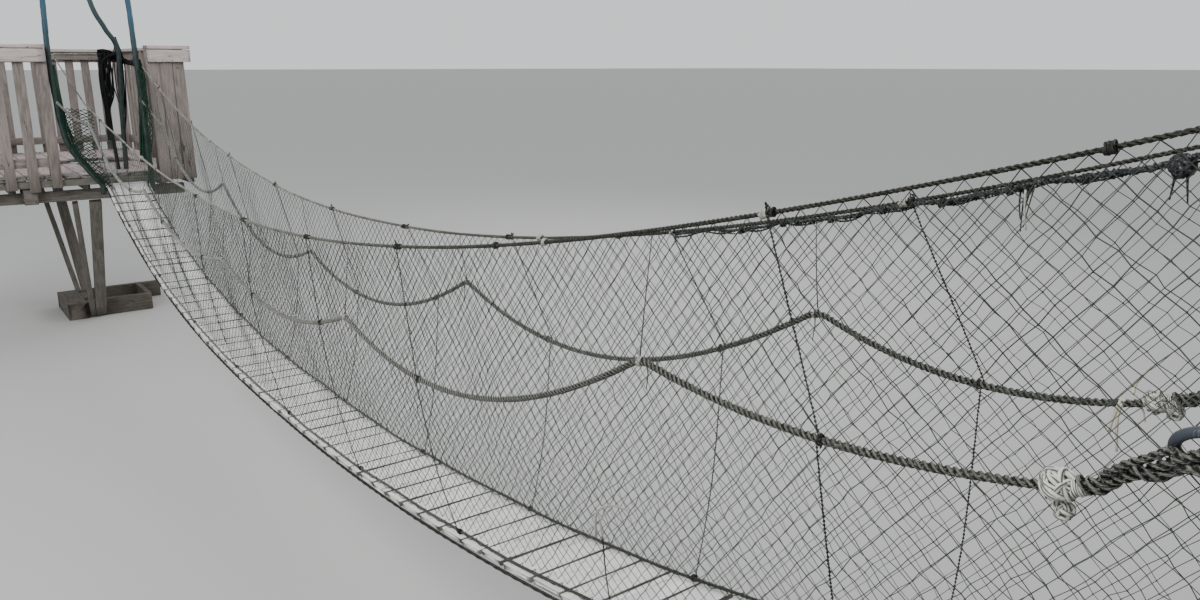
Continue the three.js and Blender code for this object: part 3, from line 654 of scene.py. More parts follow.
def makeDeck():
    x, edges = 0.004, []
    while x < span - 0.05:
        width = deckBoards["widths"][int(random.integers(len(deckBoards["widths"])))]
        edges.append((x, min(x + width, span - 0.004)))
        x += width + deckBoards["gap"] * random.uniform(0.7, 1.3)
    edges = np.array(edges)
    middle = edges.mean(1)
    slope = (deckZ(middle + 0.01) - deckZ(middle - 0.01)) / 0.02
    up = unit(np.stack([-slope, np.zeros_like(slope), np.ones_like(slope)], -1))
    yaw = np.radians(random.normal(0, deckBoards["yaw"], len(middle)))
    along = np.stack([np.sin(yaw), np.cos(yaw), np.zeros_like(yaw)], -1)
    along = along - up * (along * up).sum(-1, keepdims=True)
    length = deckBoards["length"] - random.uniform(0, 0.012, len(middle))
    width = (edges[:, 1] - edges[:, 0]) * np.sqrt(1 + slope**2)
    thickness = deckBoards["thickness"] - random.uniform(0, 0.004, len(middle))
    size = np.stack([length, width, thickness], -1)
    sideways = random.uniform(-0.004, 0.004, len(middle))
    centre = np.stack([middle, sideways, deckZ(middle)], -1) - up * (size[:, 2:] / 2 + 0.0005)
    bays = deckBoards["bays"]
    bay = np.minimum((middle / (span / bays)).astype(int), bays - 1)
    for index in range(bays):
        chosen = bay == index
        boards = boardShapes(centre[chosen], along[chosen], up[chosen], size[chosen], 9, 0.004, 0.001)
        putPiece(f"deckBoards{index + 1}", boards, "deckWood", [f"deck_bay_{index + 1}"])


makeDeck()
print("deck made")

spanRopes = {
    "handrail": 0.0076, "handrailPitch": 0.046, "railSwell": ((0.3, 2.0, 4.5, 8.4, 9.1), (1.0, 1.15, 1.0, 1.0, 0.78)),
    "scallop": 0.0104, "scallopPitch": 0.052, "scallopSwell": ((0.0, 3.0, 5.0, 10.4), (1.25, 1.2, 1.05, 1.04)),
    "foot": 0.0078, "hanger": 0.0042, "cable": 0.009, "cableSide": 0.191, "cableDrop": 0.0413,
    "railSide": 0.263, "scallopSide": 0.305, "footSide": 0.172, "footRise": 0.0093,
    "hangerFeet": (0.81, 1.855, 2.9, 3.95, 4.98, 6.04, 7.08, 8.13, 9.07), "cutFoot": 8.13,
    "leanAtScallop": 0.04, "leanAtRail": 0.25,
}
trunkPlace = {
    "behind": 1.55, "railSide": 0.306, "farWrapZ": 1.26, "nearWrapZ": 1.8, "wrapRing": 0.283, "wrapRope": 0.0125,
}
slings = {
    "edgeX": -0.0037, "corner": 0.2263, "foot": -0.088, "ringSide": 0.3483, "ringZ": 3.0, "radius": 0.0252,
    "ring": 0.296, "ringThick": 0.0222,
    "between": {
        -1: [[-0.0037, -0.3, 0.11], [-0.012, -0.395, 0.255], [-0.02, -0.47, 0.4], [-0.035, -0.507, 0.6],
             [-0.055, -0.52, 0.83], [-0.105, -0.528, 1.18], [-0.33, -0.48, 1.8], [-0.9, -0.4, 2.45]],
        1: [[-0.0037, 0.2263, 0.11], [-0.012, 0.224, 0.4], [-0.02, 0.222, 0.8], [-0.06, 0.217, 1.3],
            [-0.33, 0.255, 1.85], [-0.9, 0.3, 2.45]],
    },
}
scallopEnds = {  # tie to the sling, way in beside the gate, and rise past the last knot
    "tieZ": 0.791, "tieShift": (0.027, 0, 0.009), "beside": {-1: -0.42, 1: 0.287}, "lowZ": 0.67, "highZ": 0.775,
    "rise": ((0.095, 0.053), (0.195, 0.127), (0.345, 0.211), (0.6, 0.296)),
}


def slingPath(side):
    foot = [[slings["edgeX"], side * slings["corner"], z] for z in (slings["foot"], 0.0)]
    head = [[-trunkPlace["behind"], side * slings["ringSide"], slings["ringZ"]]]
    return smoothPath(foot + slings["between"][side] + head, 200)


def handrailPath(side):
    x = np.linspace(-0.1, span, 160)
    wave = 0.004 * np.sin(x * 2.3 + side) + 0.0025 * np.sin(x * 5.9)
    middle = np.stack([x, side * spanRopes["railSide"] + wave, handrailZ(x, side)], -1)
    behind, atTrunk = trunkPlace["behind"], side * trunkPlace["railSide"]
    far, near = [-behind, atTrunk, trunkPlace["farWrapZ"]], [span + behind, atTrunk, trunkPlace["nearWrapZ"]]
    return np.vstack([[far], middle, [near]])


def scallopPath(side):
    first, last = knotPlaces[side][[0, 5]]
    x = np.linspace(first[0], last[0], 900)
    middle = softened(np.stack([x, np.full_like(x, side * spanRopes["scallopSide"]), scallopZ(x, side)], -1), 13)
    sling = slingPath(side)
    tie = sling[np.argmin(np.abs(sling[:, 2] - scallopEnds["tieZ"]))] + scallopEnds["tieShift"]
    mirrored = tie * (-1, 1, 1) + (span, 0, 0)
    beside = scallopEnds["beside"][side]
    start = smoothPath([tie, [0.09, beside, scallopEnds["lowZ"]], middle[0]], 14)
    y = side * spanRopes["scallopSide"]
    rise = [[last[0] + along, y, last[1] + up] for along, up in scallopEnds["rise"]]
    end = smoothPath([middle[-1], *rise, [span - 0.09, beside, scallopEnds["highZ"]], mirrored], 60)
    return np.vstack([start[:-1], middle, end[1:]])


def hangerPath(foot, side):
    # hanger: up from the foot rope, past the scalloped rope and on to the handrail, leaning back as it rises
    low = float(deckZ(np.array(foot)))
    ends = [[foot, side * spanRopes["footSide"], low + 0.008], [foot, side * 0.188, low + 0.032]]
    if side < 0 and foot == spanRopes["cutFoot"]:
        return smoothPath(ends + [[foot + 0.015, -0.222, -0.42], [8.165, -0.25, -0.274]], 40)
    tiedX, railX = foot - spanRopes["leanAtScallop"], foot - spanRopes["leanAtRail"]
    tied, rail = (float(curve(np.array(at), side)) for curve, at in ((scallopZ, tiedX), (handrailZ, railX)))
    middle = [foot - 0.012, side * 0.262, 0.45 * tied + 0.55 * low]
    beside = [[tiedX, side * 0.3185, tied + shift] for shift in (-0.02, 0.02)]
    high = [[railX, side * 0.2752, rail + shift] for shift in (-0.022, 0.012)]
    return smoothPath(ends + [middle, *beside, *high], 90)


def makeSpanRopes():
    foot = np.linspace(0.0, span, 200)
    for name, side in bothSides:
        rail = ropeShape(handrailPath(side), spanRopes["handrail"], spanRopes["handrailPitch"], step=0.0075,
                         swell=spanRopes["railSwell"])
        putPiece(f"{name}HandrailRope", rail, "handrailRope", [f"{name}_handrail_rope"])
        scallop = ropeShape(scallopPath(side), spanRopes["scallop"], spanRopes["scallopPitch"], step=0.0055, sides=15,
                            swell=spanRopes["scallopSwell"])
        putPiece(f"{name}ScallopRope", scallop, "greyRope", [f"{name}_scallop_rope"])
        wander = 0.004 * np.sin(foot * 3.1) + 0.003 * np.sin(foot * 8.3 + side)
        footPath = np.stack([foot, side * spanRopes["footSide"] + wander, deckZ(foot) + spanRopes["footRise"]], -1)
        footShape = ropeShape(footPath, spanRopes["foot"], step=0.0095, sides=9)
        putPiece(f"{name}FootRope", footShape, "footRope", [f"{name}_suspender_ropes"])
        putPiece(f"{name}Hangers", [
            ropeShape(hangerPath(at, side), spanRopes["hanger"], step=0.01, sides=7, up=(0, 1, 0))
            for at in spanRopes["hangerFeet"]
        ], "hangerRope")
        cableY = np.full_like(foot, side * spanRopes["cableSide"])
        cable = np.stack([foot, cableY, deckZ(foot) - spanRopes["cableDrop"]], -1)
        cableShape = ropeShape(cable, spanRopes["cable"], step=0.014, sides=9)
        putPiece(f"{name}DeckCable", cableShape, "darkRope", [f"{name}_deck_cable"])


headRopeValues = {
    "radius": 0.0085, "swell": ((7.9, 8.6, 8.9), (0.6, 0.85, 1.1)), "start": 7.9, "beside": 0.0046, "thin": 0.0034,
    "drops": ((7.9, 0.008), (8.4, 0.011), (8.8, 0.011), (9.15, 0.012), (9.5, 0.024), (10.4, 0.03)),
    "hanks": (  # distance, drop, size, cord, loops, seed
        (9.445, 0.034, 0.026, 0.008, 9, 21), (9.12, 0.018, 0.014, 0.004, 8, 22), (8.44, 0.012, 0.011, 0.0034, 6, 23),
    ),
    "strands": ((-0.012, 0.07, 0.0026), (0.0, 0.1, 0.0024), (0.012, 0.06, 0.0026), (0.02, 0.09, 0.0018)),
    "nearStrands": ((-0.01, 0.05), (0.012, 0.065)),
}


def headPath(side):
    # the net's head rope, which hugs the handrail and then hangs a little below it
    x = np.linspace(headRopeValues["start"], span, 130)
    drop = np.interp(x, *np.array(headRopeValues["drops"]).T) + 0.0035 * np.sin(x * 17) + 0.002 * np.sin(x * 41)
    return np.stack([x, side * (spanRopes["railSide"] + 0.002 * np.sin(x * 23)), handrailZ(x, side) - drop], -1)


def makeHeadRope():
    # gathered edge of the right net, twisted strands that hug the handrail and leave it towards the near end
    head = headPath(1)
    turn = head[:, 0] * 37
    beside = head + np.stack([0 * turn, 0.006 * np.cos(turn), 0.006 * np.sin(turn) - 0.006], -1)
    thinTurn = turn * 0.63 + 2
    thin = head + np.stack([0 * turn, 0.008 * np.cos(thinTurn), 0.008 * np.sin(thinTurn) - 0.004], -1)
    radius, swell = headRopeValues["radius"], headRopeValues["swell"]
    shapes = [ropeShape(head, radius, step=0.007, sides=9, frayed=0.16, swell=swell)]
    for path, radius in ((beside, headRopeValues["beside"]), (thin, headRopeValues["thin"])):
        shapes.append(ropeShape(path, radius, step=0.008, sides=6, frayed=0.14))
    # hanks of net twine wound up on it, and what hangs from them
    at = lambda x, drop: [x, 0.266, float(handrailZ(x, 1)) - drop]
    for x, drop, size, cord, loops, seed in headRopeValues["hanks"]:
        shapes += ballKnot(at(x, drop), size, cord, loops, seed)
    for shift, length, radius in headRopeValues["strands"]:
        middle = at(9.117 + shift * 0.7, 0.02 + length / 2)
        tip = at(9.118 + shift * 0.3, 0.02 + length)
        shapes.append(cordTail([at(9.12 + shift, 0.02), middle, tip], radius))
    for shift, length in headRopeValues["nearStrands"]:
        shapes.append(cordTail([at(9.445 + shift, 0.05), at(9.447 + shift * 1.6, 0.05 + length)], 0.003, 8))
    putPiece("rightHeadRope", shapes, "headRope")


makeSpanRopes()
makeHeadRope()
print("span ropes made")

knotValues = {
    "cord": 0.0052, "last": {-1: 0.033, 1: 0.0275}, "loops": 15,
    "lump": 0.0185, "lumpCord": 0.0046, "lumpLoops": 8, "lumpAt": {-1: (0.006, 0.0, -0.041), 1: (0.032, 0.0, -0.012)},
    "paleLashings": {  # distance, turns, cord
        -1: ((8.796, 4, 0.003), (7.885, 3, 0.0026), (2.15, 4, 0.003)),
        1: ((8.796, 4, 0.003), (7.885, 3, 0.0026), (2.15, 4, 0.003), (7.06, 4, 0.0034)),
    },
    "darkLashings": (7.585, 6.8, 5.75, 4.764, 3.72, 9.54, 9.9),
}


def railLashing(x, side, turns, cord):
    centre = [x, side * spanRopes["railSide"], float(handrailZ(x, side))]
    slope = float(handrailZ(x + 0.01, side) - handrailZ(x - 0.01, side)) / 0.02
    return turnsShape(centre, [1.0, 0.0, slope], 0.0078 + cord * 0.8, cord, turns, lean=0.002)


def makeKnots():
    for name, side in bothSides:
        y = side * spanRopes["scallopSide"]
        path = scallopPath(side)
        pale, dark, balls = [], [], []
        for x, z in knotPlaces[side][:5, :2]:
            crown = path[np.argmin(np.abs(path[:, 0] - x))]
            pale.append(turnsShape(crown, (1, 0.1, 0.1), 0.0125, 0.0022, 3, 0.002, 6))
            inner = y - side * 0.02
            tail = [[x, y - side * 0.012, z], [x + 0.01, inner, z - 0.04], [x + 0.004, inner, z - 0.09]]
            dark.append(cordTail(tail, 0.0022))
            rail = float(handrailZ(x, side))
            middle = [x, (y + side * 0.27) / 2, (z + rail) / 2]
            dark.append(cordTail([[x, y, z + 0.008], middle, [x + 0.004, side * 0.27, rail + 0.004]], 0.0019))
        x, z = knotPlaces[side][5, :2]
        balls += ballKnot([x - 0.008, y, z], knotValues["last"][side], knotValues["cord"], knotValues["loops"], 2)
        lump = np.add([x, y, z], knotValues["lumpAt"][side])
        balls += ballKnot(lump, knotValues["lump"], knotValues["lumpCord"], knotValues["lumpLoops"], 8)
        balls.append(turnsShape([x + 0.03, y, z + 0.012], (1, 0, 0.5), 0.015, 0.003, 5, 0.002, 7))
        pale += [railLashing(at, side, turns, cord) for at, turns, cord in knotValues["paleLashings"][side]]
        dark += [railLashing(at, side, 4, 0.0024) for at in knotValues["darkLashings"]]
        for foot in spanRopes["hangerFeet"]:
            if side > 0 or foot != spanRopes["cutFoot"]:
                dark.append(railLashing(foot - spanRopes["leanAtRail"], side, 2, 0.0022))
                tied = foot - spanRopes["leanAtScallop"]
                centre = [tied, side * 0.307, float(scallopZ(np.array(tied), side))]
                dark.append(turnsShape(centre, (1, 0, 0.1), 0.0125, 0.002, 2, 0.003, 6))
            centre = [foot, side * 0.174, float(deckZ(np.array(foot))) + 0.011]
            dark.append(turnsShape(centre, (1, 0, 0), 0.0098, 0.0018, 4, 0.001, 6))
        if side > 0:
            head = headPath(side)
            for index in range(16, len(head) - 3, 9):
                along = head[index + 1] - head[index]
                dark.append(turnsShape(head[index] - [0, 0, 0.003], along, 0.0105, 0.0024, 3, 0.003, 6))
        putPiece(f"{name}PaleKnots", pale, "paleRope")
        putPiece(f"{name}BallKnots", balls, "knotCord")
        putPiece(f"{name}DarkLashings", dark, "darkRope")


secondRope = {
    "radius": 0.0105, "pitch": 0.068, "turn": 0.085, "beside": 0.0155, "drop": 0.034,
    "looseFrom": 0.13, "looseTo": 0.49,
}
nearTies = {  # paths of the hose loop, of the rope branching off to it, and of the loose tails with their radii
    "loop": [
        [9.79, -0.309, 0.556], [9.755, -0.284, 0.545], [9.722, -0.284, 0.547], [9.711, -0.292, 0.565],
        [9.722, -0.306, 0.588], [9.747, -0.309, 0.604], [9.785, -0.312, 0.612], [9.815, -0.314, 0.602],
        [9.825, -0.314, 0.582], [9.812, -0.312, 0.564], [9.786, -0.309, 0.555],
    ],
    "branch": [
        [9.62, -0.314, 0.487], [9.655, -0.316, 0.52], [9.69, -0.314, 0.545], [9.712, -0.31, 0.562],
        [9.73, -0.305, 0.553], [9.72, -0.29, 0.535],
    ],
    "strawTails": (
        (0.0046, [[9.4, 0.305, 0.43], [9.4, 0.315, 0.455], [9.423, 0.317, 0.499]]),
        (0.005, [[9.38, 0.305, 0.416], [9.374, 0.293, 0.385], [9.367, 0.292, 0.335]]),
        (0.0048, [[9.385, 0.305, 0.416], [9.38, 0.293, 0.375], [9.39, 0.29, 0.293]]),
        (0.0034, [[9.4, 0.305, 0.42], [9.42, 0.315, 0.4], [9.43, 0.315, 0.372]]),
    ),
    "cutTails": (
        (0.0048, [[8.13, -0.25, -0.29], [8.13, -0.25, -0.215], [8.17, -0.252, -0.17],
                  [8.225, -0.25, -0.145], [8.29, -0.25, -0.135]]),
        (0.003, [[8.165, -0.25, -0.274], [8.15, -0.248, -0.23], [8.18, -0.25, -0.19], [8.2, -0.25, -0.165]]),
        (0.0022, [[9.41, -0.27, 0.936], [9.415, -0.275, 0.9], [9.42, -0.272, 0.866]]),
    ),
}


def makeNearTies():
    # second rope twisted with the scalloped one past its last knot, then hanging a little below it
    for name, side in bothSides:
        path = scallopPath(side)
        last = knotPlaces[side][5]
        middle = path[(path[:, 0] > last[0] + 0.02) & (path[:, 0] < last[0] + 0.5)]
        x = middle[:, 0] - last[0]
        turn = 2 * np.pi * x / secondRope["turn"]
        loose = np.clip((x - secondRope["looseFrom"]) / 0.08, 0, 1) * np.clip((secondRope["looseTo"] - x) / 0.08, 0, 1)
        offset = secondRope["beside"] * (1 - loose)
        drop = secondRope["drop"] * loose
        second = middle + np.stack([0 * x, offset * np.cos(turn), offset * np.sin(turn) - drop], -1)
        ties = [
            ropeShape(second, secondRope["radius"], secondRope["pitch"], step=0.0055, sides=12),
            turnsShape(middle[-4], middle[-1] - middle[-6], 0.019, 0.0034, 6, 0.003, 7),
        ]
        putPiece(f"{name}SecondRope", ties, "greyRope")
    putPiece("leftHoseLoop", tubeShape(smoothPath(nearTies["loop"], 90), 0.0095, 14, up=(0, 1, 0.1)), "loopHose")
    putPiece("leftLoopRope", ropeShape(smoothPath(nearTies["branch"], 50), 0.0085, step=0.006, sides=12), "greyRope")
    for name, material in (("strawTails", "strawTwine"), ("cutTails", "paleRope")):
        putPiece(name, [cordTail(points, radius) for radius, points in nearTies[name]], material)


makeKnots()
makeNearTies()
print("knots made")

netValues = {
    "mesh": 0.039, "twine": ((0.8, 2.2, 5.5, 9.2), (0.0006, 0.0014, 0.0016, 0.0012)), "knot": 1.7, "rows": 44,
    "lift": 0.02, "bulge": 0.05, "waves": 0.012, "start": 0.1, "length": 10.2,
    "endTwine": 0.0038, "endColumns": 14, "endRows": 46, "laceSide": 0.171, "lace": (0.0105, 0.09, 0.0015),
}


def netPoints(side, x, rise, high):
    # from the foot rope at rise 0 to the handrail at rise 1, bulging outwards between them
    low = deckZ(x) + netValues["lift"]
    waves = np.sin(x * 4.1 + 2.2 * rise) + 0.6 * np.sin(x * 9.7 + 5 * rise)
    waves = netValues["waves"] * waves * np.sin(np.pi * rise)
    y = side * (0.16 + 0.09 * rise + netValues["bulge"] * np.sin(np.pi * rise) ** 2 + waves)
    return np.stack(np.broadcast_arrays(x, y, low + (high - low) * rise), -1)


def netShape(side):
    # diamond lattice: point (column, row) = place along the span, height between the foot rope and the handrail
    pitch = netValues["mesh"] * math.sqrt(2) / 2
    start, length = netValues["start"], netValues["length"]
    columns, rows = int(length / pitch), netValues["rows"]
    c, r = np.meshgrid(np.arange(columns + 1), np.arange(rows + 1), indexing="ij")
    rise = r / rows
    drift = 0.8 * pitch * np.sin(c / 13.0) * np.sin(np.pi * rise)
    x = np.clip(start + length * c / columns + drift + random.normal(0, 0.0028, c.shape), start, start + length)
    points = netPoints(side, x, rise, handrailZ(x, side) - 0.004)
    points[..., 2] += random.normal(0, 0.0026, c.shape) * np.sin(np.pi * rise)
    return latticeShapes(points, np.interp(x, *netValues["twine"]))


def netEnd(side, mirrored):
    # end of the net, drawn back from the span to its sling and gathered there
    columns, rows = netValues["endColumns"], netValues["endRows"]
    rise = np.arange(rows + 1) / rows
    edgeX = np.full(rows + 1, span - netValues["start"] if mirrored else netValues["start"])
    edge = netPoints(side, edgeX, rise, handrailZ(edgeX, side) - 0.004)
    sling = slingPath(side)
    height = 0.05 + (edge[-1, 2] - 0.02) * rise
    bound = np.stack([np.interp(height, sling[:, 2], sling[:, axis]) for axis in range(3)], -1) + (0.015, 0, 0)
    if mirrored:
        bound = bound * (-1, 1, 1) + (span, 0, 0)
    part = (np.arange(columns + 1) / columns)[:, None, None] ** 1.6
    points = bound[None] * (1 - part) + edge[None] * part
    points[1:-1] += random.normal(0, 0.004, (columns - 1, rows + 1, 3))
    return latticeShapes(points, np.full(points.shape[:2], netValues["endTwine"]))


def latticeShapes(points, twine):
    # each strand runs up the lattice on a slant, one column for every row, as a three-sided tube; knots where two meet
    columns, rows = points.shape[0] - 1, points.shape[1] - 1
    c, r = np.meshgrid(np.arange(columns + 1), np.arange(rows + 1), indexing="ij")
    row, j = np.arange(rows + 1)[None], np.arange(3)
    k = (j + 1) % 3
    sleeve = np.vstack([np.stack([j, k, k + 3], -1), np.stack([j, k + 3, j + 3], -1)])
    angle = 2 * np.pi * np.arange(3) / 3
    shapes = []
    for lean in (1, -1):
        start = np.arange(-rows, columns + rows + 1)
        start = start[start % 2 == 0]
        column = start[:, None] + lean * row
        inside = (column >= 0) & (column <= columns)
        keep = inside[:, :-1] & inside[:, 1:]
        column = np.clip(column, 0, columns)
        whole = points[column, row]
        forward = unit(np.gradient(whole, axis=1))
        across = unit(np.cross(forward, (0.0, 1.0, 0.0)))
        over = np.cross(forward, across)
        thick = twine[column, row][..., None, None] * random.uniform(0.75, 1.25, (len(start), 1, 1, 1))
        around = across[:, :, None] * np.cos(angle)[:, None] + over[:, :, None] * np.sin(angle)[:, None]
        ring = whole[:, :, None] + thick * around
        base = (np.arange(len(start))[:, None] * (rows + 1) + np.arange(rows)[None]) * 3
        before = np.pad(keep[:, :-1], ((0, 0), (1, 0)))
        after = np.pad(keep[:, 1:], ((0, 0), (0, 1)))
        tris = [(base[keep][:, None, None] + sleeve[None]).reshape(-1, 3)]
        tris += [base[keep & ~before][:, None] + [0, 2, 1], base[keep & ~after][:, None] + [3, 4, 5]]
        shapes.append({"points": ring.reshape(-1, 3), "tris": np.vstack(tris)})
    even = (c + r) % 2 == 0
    knotAt = points[even]
    size = (twine[even] * netValues["knot"])[:, None, None] * random.uniform(0.75, 1.2, (len(knotAt), 1, 1))
    corners = np.array([[1, 0, 0], [-1, 0, 0], [0, 1, 0], [0, -1, 0], [0, 0, 1.2], [0, 0, -1.2]])
    faces = np.array([[0, 2, 4], [2, 1, 4], [1, 3, 4], [3, 0, 4], [2, 0, 5], [1, 2, 5], [3, 1, 5], [0, 3, 5]])
    tris = (faces[None] + (np.arange(len(knotAt)) * 6)[:, None, None]).reshape(-1, 3)
    shapes.append({"points": (knotAt[:, None] + size * corners[None]).reshape(-1, 3), "tris": tris})
    return shapes


def lacing(path, radius, pitch, twine):
    # twine wound round a rope: path + radius * (0, cos, sin) of 2 pi s / pitch
    path, at = alongPath(path, pitch / 8)
    turn = 2 * np.pi * at / pitch + 0.5 * np.sin(at * 5)
    offset = np.stack([0 * at, radius * np.cos(turn), radius * np.sin(turn)], -1)
    return tubeShape(path + offset, twine, 5)


def makeNets():
    for name, side in bothSides:
        putPiece(f"{name}Netting", netShape(side), "netTwine", [f"{name}_net"])
        x = np.linspace(netValues["start"], span - netValues["start"], 240)
        low = np.stack([x, np.full_like(x, side * netValues["laceSide"]), deckZ(x) + netValues["lace"][0]], -1)
        putPiece(f"{name}NetLacing", lacing(low, *netValues["lace"]), "netTwine")
        putPiece(f"{name}NetEnds", netEnd(side, False) + netEnd(side, True), "netEndTwine")


makeNets()
print("nets made")

platformValues = {  # rows of boards: width and space
    "edge": -0.03, "depth": 3.1, "left": 1.6, "right": 0.655, "gateLeft": 0.56, "gateRight": 0.305, "inset": 0.15,
    "hole": 0.3, "railTop": 1.335, "cap": 0.034, "capWidth": 0.15, "capOver": 0.0563, "post": 0.09,
    "openRow": (0.092, 0.084), "closedRow": (0.11, 0.006), "floorRow": (0.138, 0.006), "floorZ": (0.0745, 0.11),
    "frameZ": (-0.0413, 0.0735), "beam": 0.06, "beamLow": 0.0087, "headerY": (-1.15, 0.56), "headerDepth": 0.105,
    "block": [[-0.33, -0.9, -0.146], [-0.03, -0.78, -0.003]], "innerJoists": (-1.01, -0.38, 0.32),
}
collarValues = {  # beams as their ends in x and in y, all of one height
    "z": (-1.58, -1.4), "front": [(-1.26, -1.18, -0.3445, 0.32)], "pad": [(-1.28, -1.2605, -0.15, 0.15)],
    "rear": [(-1.9, -1.8205, -0.545, 0.545)],
    "sides": [(-1.82, -1.14, -0.545, -0.345), (-1.82, -1.2605, 0.276, 0.33), (-1.7, -1.4, -0.3445, -0.276)],
}
strutValues = {  # foot and head in x; width, foot and head in y of the two boards
    "runs": {"FrontStruts": (-1.18, -0.16), "RearStruts": (-1.9, -3.0)},
    "boards": ((0.11, -0.221, -0.281), (0.052, -0.3, -0.462)),
    "z": (-1.552, -0.166), "clear": 0.012, "thickness": 0.044,
}


def boxBoards(boxes, alongAxis, mirrored, lean=0.0, stations=7):
    # boards given by their lowest and highest corners, with the grain along one axis
    boxes = np.asarray(boxes, float)
    if mirrored:
        flipped = boxes.copy()
        flipped[:, 0, 0], flipped[:, 1, 0] = span - boxes[:, 1, 0], span - boxes[:, 0, 0]
        boxes = flipped
    size = boxes[:, 1] - boxes[:, 0]
    order, up = (([0, 1, 2], (0, 0, 1)), ([1, 0, 2], (0, 0, 1)), ([2, 0, 1], (0, 1, 0)))[alongAxis]
    along = np.eye(3)[alongAxis] + random.normal(0, 1, (len(boxes), 3)) * lean * (size < 0.5)
    return boardShapes(boxes.mean(1), along, np.tile(up, (len(boxes), 1)), size[:, order], stations)


def spread(start, end, width, space):
    count = int((end - start - width) / (width + space))
    at = start + (end - start - width) * np.arange(count + 1) / count
    return np.stack([at, at + width], -1)


def railBoxes(length, row, posts, overhangs):
    # railing along x from 0, its outer face towards +y: balusters, two rails, side board, cap and posts
    top, over = platformValues["railTop"], platformValues["capOver"]
    bottom = top - platformValues["cap"]
    upright = [
        [[a, 0.0006, -0.01 + float(random.uniform(-0.03, 0.03))], [b, 0.0243, bottom - 0.02]]
        for a, b in spread(0, length, *row)
    ]
    upright += [[[a, -0.092, 0.1103], [a + platformValues["post"], -0.002, bottom]] for a in posts]
    heights = ((0.202, 0.288), (bottom - 0.093, bottom))
    rails = [[[0.002, -0.045, low], [length - 0.002, 0.0, high]] for low, high in heights]
    start, end = -overhangs[0], length + overhangs[1]
    cap = [
        [[start, 0.0245, bottom - 0.125], [end, 0.0483, bottom - 0.005]],
        [[start, 0.0483 - platformValues["capWidth"], bottom], [end, over, top]],
    ]
    return upright, rails, cap


def turnBoxes(boxes, degrees, x, y):
    boxes = np.asarray(boxes, float)
    cos, sin = [(1, 0), (0, 1), (-1, 0), (0, -1)][round(degrees / 90) % 4]
    corner = lambda p: np.stack([cos * p[:, 0] - sin * p[:, 1] + x, sin * p[:, 0] + cos * p[:, 1] + y, p[:, 2]], -1)
    a, b = corner(boxes[:, 0]), corner(boxes[:, 1])
    return np.stack([np.minimum(a, b), np.maximum(a, b)], 1)


def nodeName(end, name):
    return end + "".join("_" + letter.lower() if letter.isupper() else letter for letter in name)


def makeRailings(end, mirrored):
    edge, left, right, gateLeft, gateRight, over, openRow = (
        platformValues[key] for key in ("edge", "left", "right", "gateLeft", "gateRight", "capOver", "openRow")
    )
    inset = platformValues["inset"]
    back, short = edge - platformValues["depth"], platformValues["depth"] - 2 * inset
    for name, length, row, overhangs, degrees, x, y in (
        ("FrontLeftRailing", left - gateLeft, openRow, (0, over), -90, edge, -gateLeft),
        ("FrontRightRailing", right - gateRight, platformValues["closedRow"], (over, 0), -90, edge, right),
        ("RearRailing", left + right, openRow, (over, over), 90, back, -left),
        ("LeftRailing", short, openRow, (0, 0), 180, edge - inset, -left),
        ("RightRailing", short, openRow, (0, 0), 0, back + inset, right),
    ):
        posts = [0, length - platformValues["post"]] if any(overhangs) else [short / 2]
        turned = [turnBoxes(boxes, degrees, x, y) for boxes in railBoxes(length, row, posts, overhangs)]
        axis = 1 if degrees % 180 else 0
        shapes = [boxBoards(turned[0], 2, mirrored, 0.006), boxBoards(turned[1], axis, mirrored, stations=12)]
        putPiece(f"{end}{name}", shapes, "platformWood", [nodeName(end, name)])
        putPiece(f"{end}{name}Cap", boxBoards(turned[2], axis, mirrored, stations=14), "railWood")


gateBundles = {  # path in the far gate, half widths along it, number and radius of the strands, material
    "Belt": (
        [[-0.404, 0.0, 1.262], [-0.406, 0.004, 1.05], [-0.406, -0.012, 0.85], [-0.406, -0.03, 0.68],
         [-0.405, -0.038, 0.4]],
        (0.048, 0.055, 0.05, 0.018, 0.011), 11, 0.0095, "blackStrap"),
    "TopBelt": (
        [[-0.412, -0.055, 1.262], [-0.42, 0.01, 1.257], [-0.425, 0.12, 1.215], [-0.41, 0.2, 1.18], [-0.1, 0.25, 1.15]],
        (0.03, 0.034, 0.03, 0.018, 0.012), 5, 0.0135, "blackStrap"),
    "StayCords": (
        [[-0.43, 0.12, 1.42], [-0.425, 0.15, 1.2], [-0.425, 0.142, 0.9], [-0.42, 0.125, 0.68], [-0.42, 0.08, 0.38]],
        (0.012, 0.028, 0.024, 0.02, 0.012), 6, 0.0062, "blackStrap"),
    "LeanCords": (
        [[-0.43, 0.13, 1.38], [-0.42, 0.09, 1.15], [-0.42, 0.08, 0.95], [-0.42, 0.1, 0.75]],
        (0.008, 0.02, 0.02, 0.01), 3, 0.0045, "blackStrap"),
    "GatheredNet": (
        [[-0.045, 0.238, 1.2], [-0.035, 0.25, 1.0], [-0.03, 0.235, 0.75], [-0.03, 0.2, 0.5], [-0.03, 0.175, 0.2]],
        (0.012, 0.03, 0.034, 0.03, 0.024), 9, 0.0075, "netEndTwine"),
    "LeftGatheredNet": (
        [[-0.08, -0.5, 1.15], [-0.03, -0.49, 0.8], [-0.01, -0.47, 0.55], [0.0, -0.4, 0.3], [0.01, -0.28, 0.1]],
        (0.01, 0.02, 0.026, 0.026, 0.02), 8, 0.006, "netEndTwine"),
}


